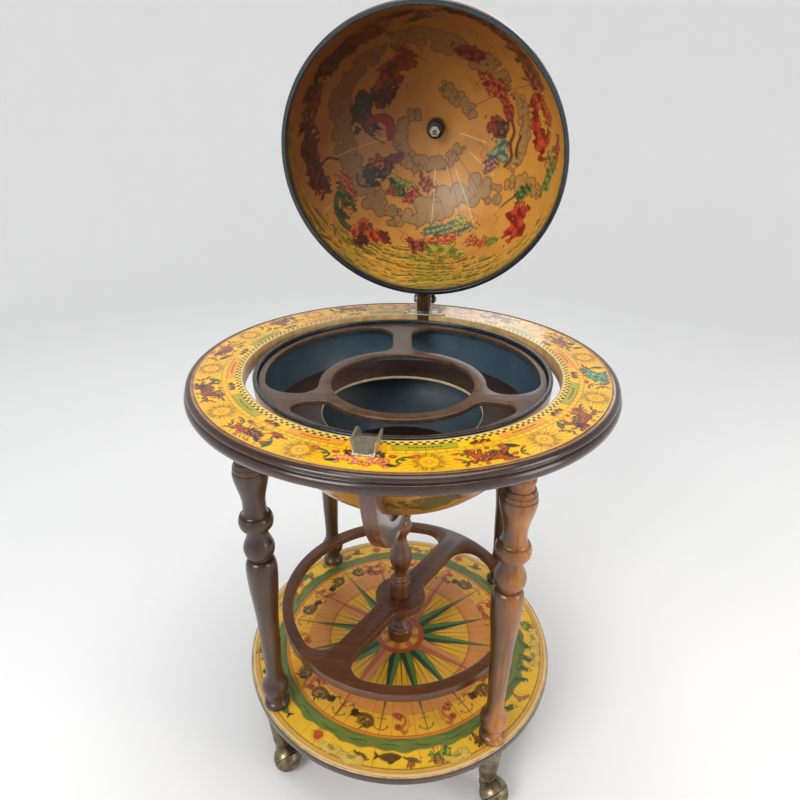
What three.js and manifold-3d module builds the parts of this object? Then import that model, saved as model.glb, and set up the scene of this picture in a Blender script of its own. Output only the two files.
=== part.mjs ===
// Globe bar cabinet: a horizon ring on four turned legs, a bowl and a hinged dome inside it,
// a bottle tray, a round lower shelf with a bottle ring on a turned post, and ball casters.
// Millimetres, +Z up, front (latch clip) at -Y, hinge at +Y. The origin is the centre of the
// flat head of the tie bolt under the shelf.
import * as THREE from 'three';
import { mergeVertices } from 'three/addons/utils/BufferGeometryUtils.js';
import Module from 'manifold-3d';

const wasm = await Module();
wasm.setup();

// ---------- driving dimensions ----------
const GLOBE_R = 200;            // outer radius of the dome and the bowl
const RIM_Z = 517;              // bowl rim plane, also the bowl's centre
const DOME_Z = 518.5;           // dome rim plane when closed
const RIM_BAND_H = 8;
const SHELL_GAP = 0.3;          // between a shell and its rim band
const RING_TOP = 521;
const RING_UNDER = RING_TOP - 22;
const PRINT_T = 0.4;            // thickness of the printed papers
const BOARD_TOP = RING_TOP - PRINT_T;
const LEG_CIRCLE = 229;         // radius on which the legs and casters stand
const CORNERS = [               // name, degrees about Z
  ['front_left', 225], ['front_right', 315], ['back_right', 45], ['back_left', 135],
];
const SHELF_UNDER = 3;
const SHELF_TOP = 16;
const FLOOR_Z = -116;
const HINGE_Y = 223.5;
const HINGE_Z = 546;
const LID_OPEN = 75;            // degrees from closed to the rest pose
const LOW_ARC_IN = 208;
const LOW_ARC_OUT = 242;
const LOW_ARC_W = 18;
const ARC_SCREW_Z = 508;
const HINGE_PLATE_Y = 222;
const HINGE_SCREWS = [[-27, HINGE_PLATE_Y], [27, HINGE_PLATE_Y]];
const CLIP_NAILS = [[-7, -244.5], [7, -244.5]];
const RING_SEG = 48;            // sides of the large rings

// ---------- finishes ----------
const FINISH = {
  walnut: { color: 0x4a2413, roughness: 0.3 },
  horizonBoard: { color: 0x8a6236, roughness: 0.5 },
  innerEdging: { color: 0x94774a, roughness: 0.55 },
  horizonPaper: { color: 0xf0b91e, roughness: 0.35 },
  moulding: { color: 0x5a3320, roughness: 0.35 },
  shelfBoard: { color: 0x7a5230, roughness: 0.5 },
  shelfPaper: { color: 0xe0b030, roughness: 0.3 },
  shelfEdging: { color: 0x5c3a24, roughness: 0.35 },
  bottleRing: { color: 0x67391a, roughness: 0.3 },
  bowlShell: { color: 0xb08a30, roughness: 0.35 },
  domeShell: { color: 0xb98a3a, roughness: 0.35 },
  slate: { color: 0x2b3b40, roughness: 0.3 },
  dullSlate: { color: 0x2b3b40, roughness: 0.4 },
  bowlDisc: { color: 0x3d1c14, roughness: 0.4 },
  tray: { color: 0x5b3a26, roughness: 0.35 },
  bush: { color: 0x171513, roughness: 0.4 },
  steel: { color: 0x8b8b86, roughness: 0.35, metalness: 1 },
  brightSteel: { color: 0xb9b7ae, roughness: 0.35, metalness: 1 },
  brass: { color: 0x9a7440, roughness: 0.35, metalness: 1 },
  dullBrass: { color: 0x9a7440, roughness: 0.4, metalness: 1 },
  clip: { color: 0x8d8468, roughness: 0.4, metalness: 1 },
  bronze: { color: 0x6b4a26, roughness: 0.35, metalness: 1 },
};

// ---------- solids and meshes ----------
const DEG = Math.PI / 180;
const TURN = 2 * Math.PI;

function asSolid(shape) {
  if (!(shape instanceof THREE.BufferGeometry)) return shape;
  const bare = shape.clone();
  bare.deleteAttribute('normal');
  bare.deleteAttribute('uv');
  const welded = mergeVertices(bare, 1e-4);
  return new wasm.Manifold(new wasm.Mesh({
    numProp: 3,
    vertProperties: new Float32Array(welded.attributes.position.array),
    triVerts: new Uint32Array(welded.index.array),
  }));
}

function indexedGeometry(positions, indices) {
  const geometry = new THREE.BufferGeometry();
  geometry.setAttribute('position', new THREE.BufferAttribute(new Float32Array(positions), 3));
  geometry.setIndex(new THREE.BufferAttribute(new Uint32Array(indices), 1));
  return geometry;
}

function asGeometry(shape) {
  if (shape instanceof THREE.BufferGeometry) return shape;
  const { vertProperties, triVerts } = shape.getMesh();
  return indexedGeometry(vertProperties, triVerts);
}

const cut = (base, ...tools) =>
  tools.reduce((body, tool) => body.subtract(asSolid(tool)), asSolid(base));
const join = (base, ...parts) =>
  parts.reduce((body, part) => body.add(asSolid(part)), asSolid(base));

const group = new THREE.Group();
function add(name, shape, finish) {
  const mesh = new THREE.Mesh(asGeometry(shape), new THREE.MeshStandardMaterial(finish));
  mesh.name = name;
  group.add(mesh);
}

// ---------- shape helpers ----------
function signedVolume(positions, indices) {
  let volume = 0;
  for (let i = 0; i < indices.length; i += 3) {
    const [a, b, c] = [0, 1, 2].map((corner) =>
      new THREE.Vector3().fromArray(positions, 3 * indices[i + corner]));
    volume += a.dot(b.cross(c));
  }
  return volume;
}

// A solid of revolution about Z. The profile is [radius, z] pairs, on the axis at both ends
// or closed on itself.
function lathe(profile, sides) {
  const positions = [];
  const indices = [];
  const rows = profile.map(([radius, z]) => {
    const row = [];
    for (let i = 0; i < (radius === 0 ? 1 : sides); i++) {
      const angle = (TURN * (i + 0.5)) / sides;
      row.push(positions.length / 3);
      positions.push(radius * Math.cos(angle), radius * Math.sin(angle), z);
    }
    return row;
  });
  const onAxis = profile[0][0] === 0 && profile[profile.length - 1][0] === 0;
  const bands = onAxis ? rows.length - 1 : rows.length;
  for (let k = 0; k < bands; k++) {
    const low = rows[k];
    const high = rows[(k + 1) % rows.length];
    if (low.length === 1 && high.length === 1) continue;
    for (let i = 0; i < sides; i++) {
      const j = (i + 1) % sides;
      if (low.length === 1) indices.push(low[0], high[j], high[i]);
      else if (high.length === 1) indices.push(low[i], low[j], high[0]);
      else indices.push(low[i], low[j], high[j], low[i], high[j], high[i]);
    }
  }
  // a profile that runs the other way comes out inside out
  if (signedVolume(positions, indices) < 0) {
    for (let i = 0; i < indices.length; i += 3) {
      [indices[i], indices[i + 1]] = [indices[i + 1], indices[i]];
    }
  }
  return indexedGeometry(positions, indices);
}

// A ring of rectangular section, or a solid disc where the inner radius is 0.
const tube = (inner, outer, bottom, top, sides) =>
  lathe([[inner, bottom], [outer, bottom], [outer, top], [inner, top]], sides);

// A cylinder between two points.
function rod(from, to, radius, sides) {
  const start = new THREE.Vector3(...from);
  const run = new THREE.Vector3(...to).sub(start);
  const geometry = tube(0, radius, 0, run.length(), sides);
  const up = new THREE.Vector3(0, 0, 1);
  geometry.applyQuaternion(new THREE.Quaternion().setFromUnitVectors(up, run.normalize()));
  return geometry.translate(...start);
}

const poleRod = (bottom, top, radius, sides) => rod([0, 0, bottom], [0, 0, top], radius, sides);

const block = (x0, x1, y0, y1, z0, z1) => new THREE.BoxGeometry(x1 - x0, y1 - y0, z1 - z0)
  .translate((x0 + x1) / 2, (y0 + y1) / 2, (z0 + z1) / 2);

const circle = (x, y, radius, count) => Array.from({ length: count }, (_, i) =>
  [x + radius * Math.cos((TURN * i) / count), y + radius * Math.sin((TURN * i) / count)]);

function plate(outline, holes, bottom, top) {
  const vectors = (points) => points.map(([x, y]) => new THREE.Vector2(x, y));
  const shape = new THREE.Shape(vectors(outline));
  shape.holes = holes.map((hole) => new THREE.Path(vectors(hole)));
  const settings = { depth: top - bottom, bevelEnabled: false };
  return new THREE.ExtrudeGeometry(shape, settings).translate(0, 0, bottom);
}

// A plate drawn in Y, Z and given a width along X.
const plateX = (outline, x0, x1) => plate(outline, [], 0, x1 - x0)
  .applyMatrix4(new THREE.Matrix4().set(0, 0, 1, x0, 1, 0, 0, 0, 0, 1, 0, 0, 0, 0, 0, 1));

const hexNut = (bottom, top, radius, bore) => asGeometry(
  cut(tube(0, radius, bottom, top, 6), poleRod(bottom - 5, top + 5, bore, 16)));

// ---------- openings with rounded corners ----------
// A curve is { centre, radius, outside } for a circle (outside: the opening lies outside it)
// or { point, normal } for a line with the opening on the normal's side.

function depthInside(curve, [x, y]) {
  if (curve.centre) {
    const distance = Math.hypot(x - curve.centre[0], y - curve.centre[1]);
    return curve.outside ? distance - curve.radius : curve.radius - distance;
  }
  return (x - curve.point[0]) * curve.normal[0] + (y - curve.point[1]) * curve.normal[1];
}

function nearestPoint(curve, [x, y]) {
  if (curve.centre) {
    const [cx, cy] = curve.centre;
    const distance = Math.hypot(x - cx, y - cy);
    return [cx + ((x - cx) * curve.radius) / distance, cy + ((y - cy) * curve.radius) / distance];
  }
  const depth = depthInside(curve, [x, y]);
  return [x - depth * curve.normal[0], y - depth * curve.normal[1]];
}

// Centre of the corner circle that touches both curves, by Newton's method from a guess.
function cornerCentre(first, second, radius, guess) {
  const miss = (x, y) => [first, second].map((curve) => depthInside(curve, [x, y]) - radius);
  const nudge = 1e-5;
  let [x, y] = guess;
  for (let round = 0; round < 60; round++) {
    const here = miss(x, y);
    const slopeX = miss(x + nudge, y).map((value, i) => (value - here[i]) / nudge);
    const slopeY = miss(x, y + nudge).map((value, i) => (value - here[i]) / nudge);
    const det = slopeX[0] * slopeY[1] - slopeY[0] * slopeX[1];
    x -= (here[0] * slopeY[1] - here[1] * slopeY[0]) / det;
    y -= (slopeX[0] * here[1] - slopeX[1] * here[0]) / det;
  }
  return [x, y];
}

// Points along an arc, without its end point.
function arcPoints([x, y], radius, from, to, { clockwise = false, step, fewest }) {
  const start = Math.atan2(from[1] - y, from[0] - x);
  let end = Math.atan2(to[1] - y, to[0] - x);
  if (clockwise) while (end > start) end -= TURN;
  else while (end < start) end += TURN;
  const count = Math.max(fewest, Math.ceil(Math.abs(end - start) / step));
  return Array.from({ length: count }, (_, i) => {
    const angle = start + ((end - start) * i) / count;
    return [x + radius * Math.cos(angle), y + radius * Math.sin(angle)];
  });
}

// The curves bound the opening in turn. Corner i joins curve i to the next one and is
// [radius, guessed x, guessed y of its centre].
function opening(curves, corners, step) {
  const count = curves.length;
  const fillets = corners.map(([radius, ...guess], i) => {
    const next = curves[(i + 1) % count];
    const centre = cornerCentre(curves[i], next, radius, guess);
    return {
      centre, radius, from: nearestPoint(curves[i], centre), to: nearestPoint(next, centre),
    };
  });
  return curves.flatMap((curve, i) => {
    const start = fillets[(i + count - 1) % count].to;
    const { centre, radius, from, to } = fillets[i];
    const edge = curve.centre
      ? arcPoints(curve.centre, curve.radius, start, from,
        { clockwise: curve.outside, step, fewest: 1 })
      : [start];
    return [...edge, ...arcPoints(centre, radius, from, to, { step: 2.2 * step, fewest: 2 })];
  });
}

// ---------- fixing holes ----------
const verticalHoles = (places, bottom, radius, sides) =>
  places.map(([x, y]) => rod([x, y, bottom], [x, y, 530], radius, sides));
const hingeScrewHoles = verticalHoles(HINGE_SCREWS, 506, 2.4, 12);
const clipNailHoles = verticalHoles(CLIP_NAILS, 509, 1.4, 10);
const arcScrewHole = (side, innerY) =>
  rod([0, side * innerY, ARC_SCREW_Z], [0, side * 252, ARC_SCREW_Z], 2.4, 12);

// ---------- horizon ring ----------
const RING_IN = 211;
const RING_OUT = 285;
const BOARD_IN = RING_IN + 1.5;
const PRINT_OUT = 271.7;        // outer radius of the board and its paper
const MOULDING_IN = PRINT_OUT + 0.3;
const ARC_NOTCH = LOW_ARC_W / 2 + 0.3;  // half width of the notches for the lower arc
const MOULDING_PROFILE = [      // radius, z
  [MOULDING_IN, RING_UNDER], [280.5, RING_UNDER], [283.6, RING_UNDER + 2.4],
  [RING_OUT, RING_UNDER + 7], [RING_OUT, RING_TOP - 9], [283.6, RING_TOP - 4.2],
  [280.2, RING_TOP - 1], [276.2, RING_TOP - 0.2], [274.6, RING_TOP - 1.6],
  [MOULDING_IN, RING_TOP - 1.6],
];

function horizonBoard() {
  const notchY = LOW_ARC_OUT + 0.4;
  return cut(
    tube(BOARD_IN, PRINT_OUT, RING_UNDER, BOARD_TOP, RING_SEG),
    block(-ARC_NOTCH, ARC_NOTCH, -notchY, notchY, RING_UNDER - 5, BOARD_TOP + 5),
    ...hingeScrewHoles,
    ...clipNailHoles,
    arcScrewHole(-1, 230),
    arcScrewHole(1, 230),
  );
}

// One strip, open at the back where the arc's light block fills the gap, and thinned to
// nothing at the front below the print.
const innerEdging = () => cut(
  tube(RING_IN - 0.2, RING_IN + 1.2, RING_UNDER + 1, RING_TOP, RING_SEG),
  block(-ARC_NOTCH, ARC_NOTCH, 150, 260, RING_UNDER - 5, RING_TOP + 5),
  block(-ARC_NOTCH, ARC_NOTCH, -260, -150, RING_UNDER - 5, BOARD_TOP - 0.6),
);

const horizonPaper = () => cut(
  tube(BOARD_IN, PRINT_OUT, BOARD_TOP, RING_TOP, RING_SEG),
  ...hingeScrewHoles,
  ...clipNailHoles,
);

add('horizon_board', horizonBoard(), FINISH.horizonBoard);
add('horizon_inner_edging', innerEdging(), FINISH.innerEdging);
add('horizon_paper', horizonPaper(), FINISH.horizonPaper);
add('horizon_moulding', lathe(MOULDING_PROFILE, RING_SEG), FINISH.moulding);

// ---------- legs ----------
const LEG_SEG = 14;
const LEG_TURNING = [           // radius, height above the shelf
  [17, 0], [18.9, 5], [14, 18], [19.6, 43], [12.8, 60], [12, 71], [15.3, 178], [19.3, 228],
  [20.8, 266], [18.4, 279], [12.9, 285], [20.3, 300], [13.7, 327], [22.2, 344], [14.8, 364],
  [14, 376], [22, 412], [19.5, 429], [13.2, 446], [17.5, 483],
];
const LEG_PROFILE = [
  [0, SHELF_TOP],
  ...LEG_TURNING.map(([radius, height]) => [radius, SHELF_TOP + height]),
  [0, RING_UNDER],
];
const cornerPlace = (angle) =>
  [LEG_CIRCLE * Math.cos(angle * DEG), LEG_CIRCLE * Math.sin(angle * DEG), 0];

for (const [corner, angle] of CORNERS) {
  const leg = lathe(LEG_PROFILE, LEG_SEG).translate(...cornerPlace(angle));
  add('leg_' + corner, leg, FINISH.walnut);
}

// ---------- shelf ----------
const SHELF_R = 250.5;
const SHELF_BOARD_R = 246.7;
const SHELF_BOARD_TOP = SHELF_TOP - PRINT_T;
const TIE_BORE = 6.4;
const SHELF_PAPER_PROFILE = [   // radius, z
  [TIE_BORE, SHELF_BOARD_TOP], [SHELF_BOARD_R, SHELF_BOARD_TOP], [SHELF_BOARD_R, SHELF_TOP],
  [205, SHELF_TOP], [60, SHELF_TOP], [TIE_BORE, SHELF_TOP],
];
const SHELF_EDGING_PROFILE = [  // radius, z
  [247, SHELF_UNDER], [249.4, SHELF_UNDER], [SHELF_R, SHELF_UNDER + 1.2],
  [SHELF_R, SHELF_TOP - 3.2], [248.2, SHELF_TOP], [247, SHELF_TOP],
];
const shelfBoard = tube(TIE_BORE, SHELF_BOARD_R, SHELF_UNDER, SHELF_BOARD_TOP, RING_SEG);
add('shelf_board', shelfBoard, FINISH.shelfBoard);
add('shelf_paper', lathe(SHELF_PAPER_PROFILE, RING_SEG), FINISH.shelfPaper);
add('shelf_edging', lathe(SHELF_EDGING_PROFILE, RING_SEG), FINISH.shelfEdging);

// ---------- post and tie bolt ----------
const POST_SEG = 16;
const BOTTLE_TOP = 108;
const BOTTLE_UNDER = BOTTLE_TOP - 14;
const POST_TOP = RIM_Z - LOW_ARC_OUT - 0.3;
const TIE_R = 6;
const TIE_TOP = 136;
const TIE_HEAD_TOP = SHELF_UNDER - 0.2;
const POST_BORE_TOP = TIE_TOP + 2;
const POST_LOWER_PROFILE = [    // radius, z
  [TIE_BORE, SHELF_TOP], [20.5, SHELF_TOP], [20.5, 36], [18.6, 40], [16.8, 44], [12.4, 48],
  [9.6, 56], [9.4, 66], [10.6, 82], [13, BOTTLE_UNDER], [TIE_BORE, BOTTLE_UNDER],
];
const POST_UPPER_PROFILE = [    // radius, z
  [TIE_BORE, BOTTLE_TOP], [16.5, BOTTLE_TOP], [16.5, 140], [10.4, 150], [10.4, 157],
  [16.4, 178], [17.9, 191], [15, 206], [8.8, 223], [9.6, 232], [16, 248], [14.2, 260],
  [15.5, 268], [15.5, POST_TOP], [0, POST_TOP], [0, POST_BORE_TOP], [TIE_BORE, POST_BORE_TOP],
];
const TIE_BOLT_PROFILE = [      // radius, z
  [0, 0], [13, 0], [14, 1], [14, TIE_HEAD_TOP], [TIE_R, TIE_HEAD_TOP], [TIE_R, TIE_TOP],
  [0, TIE_TOP],
];
add('post_lower', lathe(POST_LOWER_PROFILE, POST_SEG), FINISH.walnut);
add('post_upper', lathe(POST_UPPER_PROFILE, POST_SEG), FINISH.walnut);
add('post_tie_bolt', lathe(TIE_BOLT_PROFILE, 24), FINISH.steel);

// ---------- bottle ring ----------
const BOTTLE_IN = 176;
const BOTTLE_OUT = 193;
const BOTTLE_BAR = 34;          // width of the bar across the ring
const BOTTLE_HUB = 41;
const BOTTLE_TURN = 64;         // degrees
const ORIGIN = [0, 0];

function bottleRing() {
  const barEdge = { point: [0, BOTTLE_BAR / 2], normal: [0, 1] };
  const rim = { centre: ORIGIN, radius: BOTTLE_IN };
  const hub = { centre: ORIGIN, radius: BOTTLE_HUB, outside: true };
  const half = opening([rim, barEdge, hub, barEdge],
    [[30, -138, 47], [26, -51, 43], [26, 51, 43], [30, 138, 47]], 8 * DEG);
  const otherHalf = half.map(([x, y]) => [-x, -y]);
  const holes = [half, otherHalf, circle(0, 0, TIE_BORE, 24)];
  return plate(circle(0, 0, BOTTLE_OUT, 56), holes, BOTTLE_UNDER, BOTTLE_TOP)
    .rotateZ(BOTTLE_TURN * DEG);
}
add('bottle_ring', bottleRing(), FINISH.bottleRing);

// ---------- lower meridian arc and the bowl's pivot ----------
// A band in Y, Z from +Y to -Y through the top (up = 1) or the bottom (up = -1), ending at
// height `endHeight` from the centre.
function halfBand({ inner, outer, centreZ, up, endHeight }) {
  const steps = 24;
  const edge = (radius) => {
    const start = Math.asin(endHeight / radius);
    return Array.from({ length: steps + 1 }, (_, i) => {
      const angle = start + ((Math.PI - 2 * start) * i) / steps;
      return [radius * Math.cos(angle), centreZ + up * radius * Math.sin(angle)];
    });
  };
  return [...edge(outer), ...edge(inner).reverse()];
}

function lowerArc() {
  const halfW = LOW_ARC_W / 2;
  const band = halfBand(
    { inner: LOW_ARC_IN, outer: LOW_ARC_OUT, centreZ: RIM_Z, up: -1, endHeight: 0 });
  let arc = asSolid(plateX(band, -halfW, halfW));
  // a block on each end reaches up into the ring, higher at the back
  for (const [side, y0, y1, drop] of [
    [-1, -LOW_ARC_OUT, -LOW_ARC_IN, 1],
    [1, LOW_ARC_IN, LOW_ARC_OUT, 0.2],
  ]) {
    arc = join(arc, block(-halfW, halfW, y0, y1, RIM_Z - 4, BOARD_TOP - drop));
    arc = cut(arc, arcScrewHole(side, 200));
  }
  return cut(arc, poleRod(288, 320, 4.4, 16));
}
add('lower_meridian_arc', lowerArc(), FINISH.walnut);

const ARC_SCREW_PROFILE = [     // radius, distance from the head's face
  [0, 0], [2.6, 0], [4.2, 0.9], [4.2, 1.5], [2, 1.5], [2, 42], [0, 44],
];
for (const [end, side] of [['back', 1], ['front', -1]]) {
  const screw = lathe(ARC_SCREW_PROFILE, 12)
    .rotateX(-90 * DEG * side)
    .translate(0, side * (LOW_ARC_IN - 2.4), ARC_SCREW_Z);
  add('arc_screw_' + end, screw, FINISH.brass);
}

const BOWL_WALL = 5.5;
const BOWL_UNDER = RIM_Z - GLOBE_R;
const BOWL_INSIDE = BOWL_UNDER + BOWL_WALL;
const PIVOT_BOLT_PROFILE = [    // radius, z
  [0, 290], [4, 290], [4, BOWL_INSIDE + 1.2], [10, BOWL_INSIDE + 1.2], [10, BOWL_INSIDE + 6],
  [0, BOWL_INSIDE + 6],
];
add('bowl_pivot_washer', tube(4.4, 12, BOWL_UNDER - 7, BOWL_UNDER - 0.3, 24), FINISH.dullBrass);
add('bowl_pivot_bolt', lathe(PIVOT_BOLT_PROFILE, 16), FINISH.steel);

// ---------- bowl ----------
// Half a hollow globe with a hole at its pole, stopping short of its rim band.
function globeShell({ wall, centreZ, up, holeRadius }) {
  const face = (radius, steps) => {
    const start = Math.acos(holeRadius / radius);
    const end = Math.asin((RIM_BAND_H + SHELL_GAP) / radius);
    return Array.from({ length: steps + 1 }, (_, i) => {
      const angle = start + ((end - start) * i) / steps;
      return [radius * Math.cos(angle), centreZ + up * radius * Math.sin(angle)];
    });
  };
  return lathe([...face(GLOBE_R, 10), ...face(GLOBE_R - wall, 9).reverse()], RING_SEG);
}

const TRAY_TOP = 512;
const TRAY_UNDER = TRAY_TOP - 6.5;
const BOWL_BAND_PROFILE = [     // radius, z
  [194, RIM_Z - RIM_BAND_H], [199.8, RIM_Z - RIM_BAND_H], [GLOBE_R, RIM_Z - 1],
  [199.2, RIM_Z], [195, RIM_Z], [194, RIM_Z - 1],
];
const LEDGE_PROFILE = [         // radius, z
  [187.6, TRAY_UNDER - 5], [193.2, TRAY_UNDER - 5], [193.6, TRAY_UNDER - 0.2],
  [187.6, TRAY_UNDER - 0.2],
];
// A disc or ring 4 thick whose outer edge flares upwards.
const bowlDisc = (inner, outerBottom, outerTop, top) => lathe(
  [[inner, top - 4], [outerBottom, top - 4], [outerTop, top], [inner, top]], RING_SEG);

const bowlShell = globeShell({ wall: BOWL_WALL, centreZ: RIM_Z, up: -1, holeRadius: 4.6 });
add('bowl_shell', bowlShell, FINISH.bowlShell);
add('bowl_rim_band', lathe(BOWL_BAND_PROFILE, RING_SEG), FINISH.slate);
add('bowl_tray_ledge', lathe(LEDGE_PROFILE, RING_SEG), FINISH.dullSlate);
add('bowl_mid_disc', bowlDisc(113, 180.2, 182, 452), FINISH.bowlDisc);
add('bowl_floor_disc', bowlDisc(0, 110.2, 113, 362), FINISH.bowlDisc);

// ---------- bottle tray ----------
const TRAY_R = 193;
const TRAY_OPEN_R = 184;        // outer limit of the openings
const TRAY_HUB_Y = -39;
const TRAY_HUB_IN = 93;
const TRAY_HUB_OUT = 109;
const TRAY_SPOKE = 29;          // width of the back spoke
const TRAY_TURN = 9.4;          // degrees the tray is turned at rest
// The two edges of the flared right arm: slope in degrees, distance from the hub centre
// and the side of the arm on which the opening lies. The left arm mirrors it.
const ARM_BACK = { angle: -14.5, offset: -6, sign: 1 };
const ARM_FRONT = { angle: -10.7, offset: 39.5, sign: -1 };

function armEdge({ angle, offset, sign }) {
  const normal = [-sign * Math.sin(angle * DEG), sign * Math.cos(angle * DEG)];
  return { point: [offset * normal[0], TRAY_HUB_Y + offset * normal[1]], normal };
}

function bottleTray() {
  const rim = { centre: ORIGIN, radius: TRAY_OPEN_R };
  const hub = { centre: [0, TRAY_HUB_Y], radius: TRAY_HUB_OUT, outside: true };
  const spokeEdge = { point: [TRAY_SPOKE / 2, 0], normal: [1, 0] };
  const rightEdge = armEdge(ARM_FRONT);
  const leftEdge = {
    point: [-rightEdge.point[0], rightEdge.point[1]],
    normal: [-rightEdge.normal[0], rightEdge.normal[1]],
  };
  const right = opening([rim, spokeEdge, hub, armEdge(ARM_BACK)],
    [[40, 27, 168], [26, 26, 85], [26, 118, -45], [46, 140, -50]], 6 * DEG);
  const left = right.map(([x, y]) => [-x, y]).reverse();
  const front = opening([rim, rightEdge, hub, leftEdge],
    [[18, 138, -112], [18, 106, -108], [18, -106, -108], [18, -138, -112]], 6 * DEG);
  const holes = [circle(0, TRAY_HUB_Y, TRAY_HUB_IN, 48), right, left, front];
  return plate(circle(0, 0, TRAY_R, 72), holes, TRAY_UNDER, TRAY_TOP).rotateZ(TRAY_TURN * DEG);
}
add('bottle_tray', bottleTray(), FINISH.tray);

// ---------- lid: arc, pole fitting and dome, drawn closed and turned open ----------
const UP_ARC_IN = 207;
const UP_ARC_OUT = 240;
const UP_ARC_W = 18.5;
const FOOT_DROP = 21.5;         // from the hinge axis to the arc's feet
const DOME_WALL = 6.5;
const lidTurn = new THREE.Matrix4().makeTranslation(0, HINGE_Y, HINGE_Z)
  .multiply(new THREE.Matrix4().makeRotationX(-LID_OPEN * DEG))
  .multiply(new THREE.Matrix4().makeTranslation(0, -HINGE_Y, -HINGE_Z));
const addToLid = (name, shape, finish) =>
  add(name, asGeometry(shape).applyMatrix4(lidTurn), finish);
const aboveRim = (height) => DOME_Z + height;
const hingeAxisRod = (radius, sides) =>
  rod([-30, HINGE_Y, HINGE_Z], [30, HINGE_Y, HINGE_Z], radius, sides);

function upperArc() {
  const endHeight = HINGE_Z - FOOT_DROP - DOME_Z;
  const band = halfBand(
    { inner: UP_ARC_IN, outer: UP_ARC_OUT, centreZ: DOME_Z, up: 1, endHeight });
  // the foot's back corner is rounded about the hinge bolt, so that it turns clear of the ring
  const backCorner = cut(
    block(-20, 20, HINGE_Y, HINGE_Y + 40, HINGE_Z - 40, HINGE_Z), hingeAxisRod(21.8, 40));
  return cut(
    plateX(band, -UP_ARC_W / 2, UP_ARC_W / 2),
    backCorner,
    hingeAxisRod(4.4, 20),
    poleRod(aboveRim(190), aboveRim(UP_ARC_IN + 16), 3.4, 16),
  );
}

const BUSH_PROFILE = [          // radius, z
  [3.4, aboveRim(173)], [12.4, aboveRim(173)], [14.2, aboveRim(175)], [14.5, aboveRim(191.5)],
  [3.4, aboveRim(192.6)],
];
const DOME_BAND_PROFILE = [     // radius, z
  [193.2, DOME_Z], [199.2, DOME_Z], [GLOBE_R, DOME_Z + 1], [199.8, DOME_Z + RIM_BAND_H],
  [192.4, DOME_Z + RIM_BAND_H], [192.2, DOME_Z + 1],
];
const polePin = poleRod(aboveRim(160), aboveRim(UP_ARC_IN + 15.5), 3, 16);
const poleSpacer = tube(3.4, 11, aboveRim(200.4), aboveRim(205.9), 20);
const domeShell = globeShell({ wall: DOME_WALL, centreZ: DOME_Z, up: 1, holeRadius: 3.6 });
addToLid('upper_meridian_arc', upperArc(), FINISH.walnut);
addToLid('pole_pin', polePin, FINISH.steel);
addToLid('pole_spacer', poleSpacer, FINISH.dullBrass);
addToLid('pole_bush', lathe(BUSH_PROFILE, 24), FINISH.bush);
addToLid('pole_nut', hexNut(aboveRim(166.5), aboveRim(172.6), 8.5, 3.3), FINISH.brightSteel);
addToLid('dome_shell', domeShell, FINISH.domeShell);
addToLid('dome_rim_band', lathe(DOME_BAND_PROFILE, RING_SEG), FINISH.slate);

// ---------- hinge bracket ----------
const BRACKET_TOP = RING_TOP + 2.3;   // top of the base plate
const EAR_R = 10.5;
const EAR_IN = 10.2;
const EAR_OUT = 12.4;
const STOP_OUTLINE = [          // y, z
  [HINGE_Y + 17.6, RING_TOP + 1.2], [HINGE_Y + 20.4, RING_TOP + 1.2],
  [HINGE_Y + 20.8, HINGE_Z - 9.2], [HINGE_Y + 18.2, HINGE_Z - 10.4],
];
const TAIL_OUTLINE = [          // x, y
  [-EAR_OUT, HINGE_Y + 4], [EAR_OUT, HINGE_Y + 4], [11.4, HINGE_Y + 20.4],
  [-11.4, HINGE_Y + 20.4],
];

function hingeBracket() {
  const soften = (value, power) => Math.sign(value) * Math.abs(value) ** power;
  const oval = circle(0, 0, 1, 36).map(([x, y]) =>
    [34.6 * soften(x, 0.9), HINGE_PLATE_Y + 13.5 * soften(y, 0.85)]);
  const ear = [[HINGE_Y - 13, RING_TOP + 1], [HINGE_Y + 13, RING_TOP + 1]];
  for (let i = 0; i <= 12; i++) {
    const angle = (-10 + (200 * i) / 12) * DEG;
    ear.push([HINGE_Y + EAR_R * Math.cos(angle), HINGE_Z + EAR_R * Math.sin(angle)]);
  }
  const body = join(
    plate(oval, [], RING_TOP, BRACKET_TOP),
    plateX(ear, -EAR_OUT, -EAR_IN),
    plateX(ear, EAR_IN, EAR_OUT),
    plate(TAIL_OUTLINE, [], RING_TOP, BRACKET_TOP),
    plateX(STOP_OUTLINE, -9, 9),  // stands behind the foot
  );
  return cut(body, hingeAxisRod(4.3, 20), ...hingeScrewHoles);
}

const HINGE_BOLT_PROFILE = [    // radius, distance from the head's face
  [0, 0], [6.2, 0], [7, 1.2], [7, 4.4], [4, 4.4], [4, 36.5], [0, 37],
];
const HINGE_SCREW_PROFILE = [   // radius, z
  [0, 508], [2, 510], [2, RING_TOP + 2.4], [4.2, RING_TOP + 2.5], [3.4, RING_TOP + 3.9],
  [0, RING_TOP + 4.4],
];
const onHingeAxis = (geometry, x) => geometry.rotateY(90 * DEG).translate(x, HINGE_Y, HINGE_Z);

// A left and a right fastener at the two [x, y] places.
function addPair(name, profile, sides, places, finish) {
  for (const [i, hand] of ['left', 'right'].entries()) {
    add(`${name}_${hand}`, lathe(profile, sides).translate(...places[i], 0), finish);
  }
}

add('hinge_bracket', hingeBracket(), FINISH.dullBrass);
add('hinge_bolt', onHingeAxis(lathe(HINGE_BOLT_PROFILE, 20), -17.1), FINISH.brass);
add('hinge_nut', onHingeAxis(hexNut(0, 4.6, 7.6, 4.3), 12.8), FINISH.brass);
addPair('hinge_screw', HINGE_SCREW_PROFILE, 12, HINGE_SCREWS, FINISH.brass);

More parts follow.
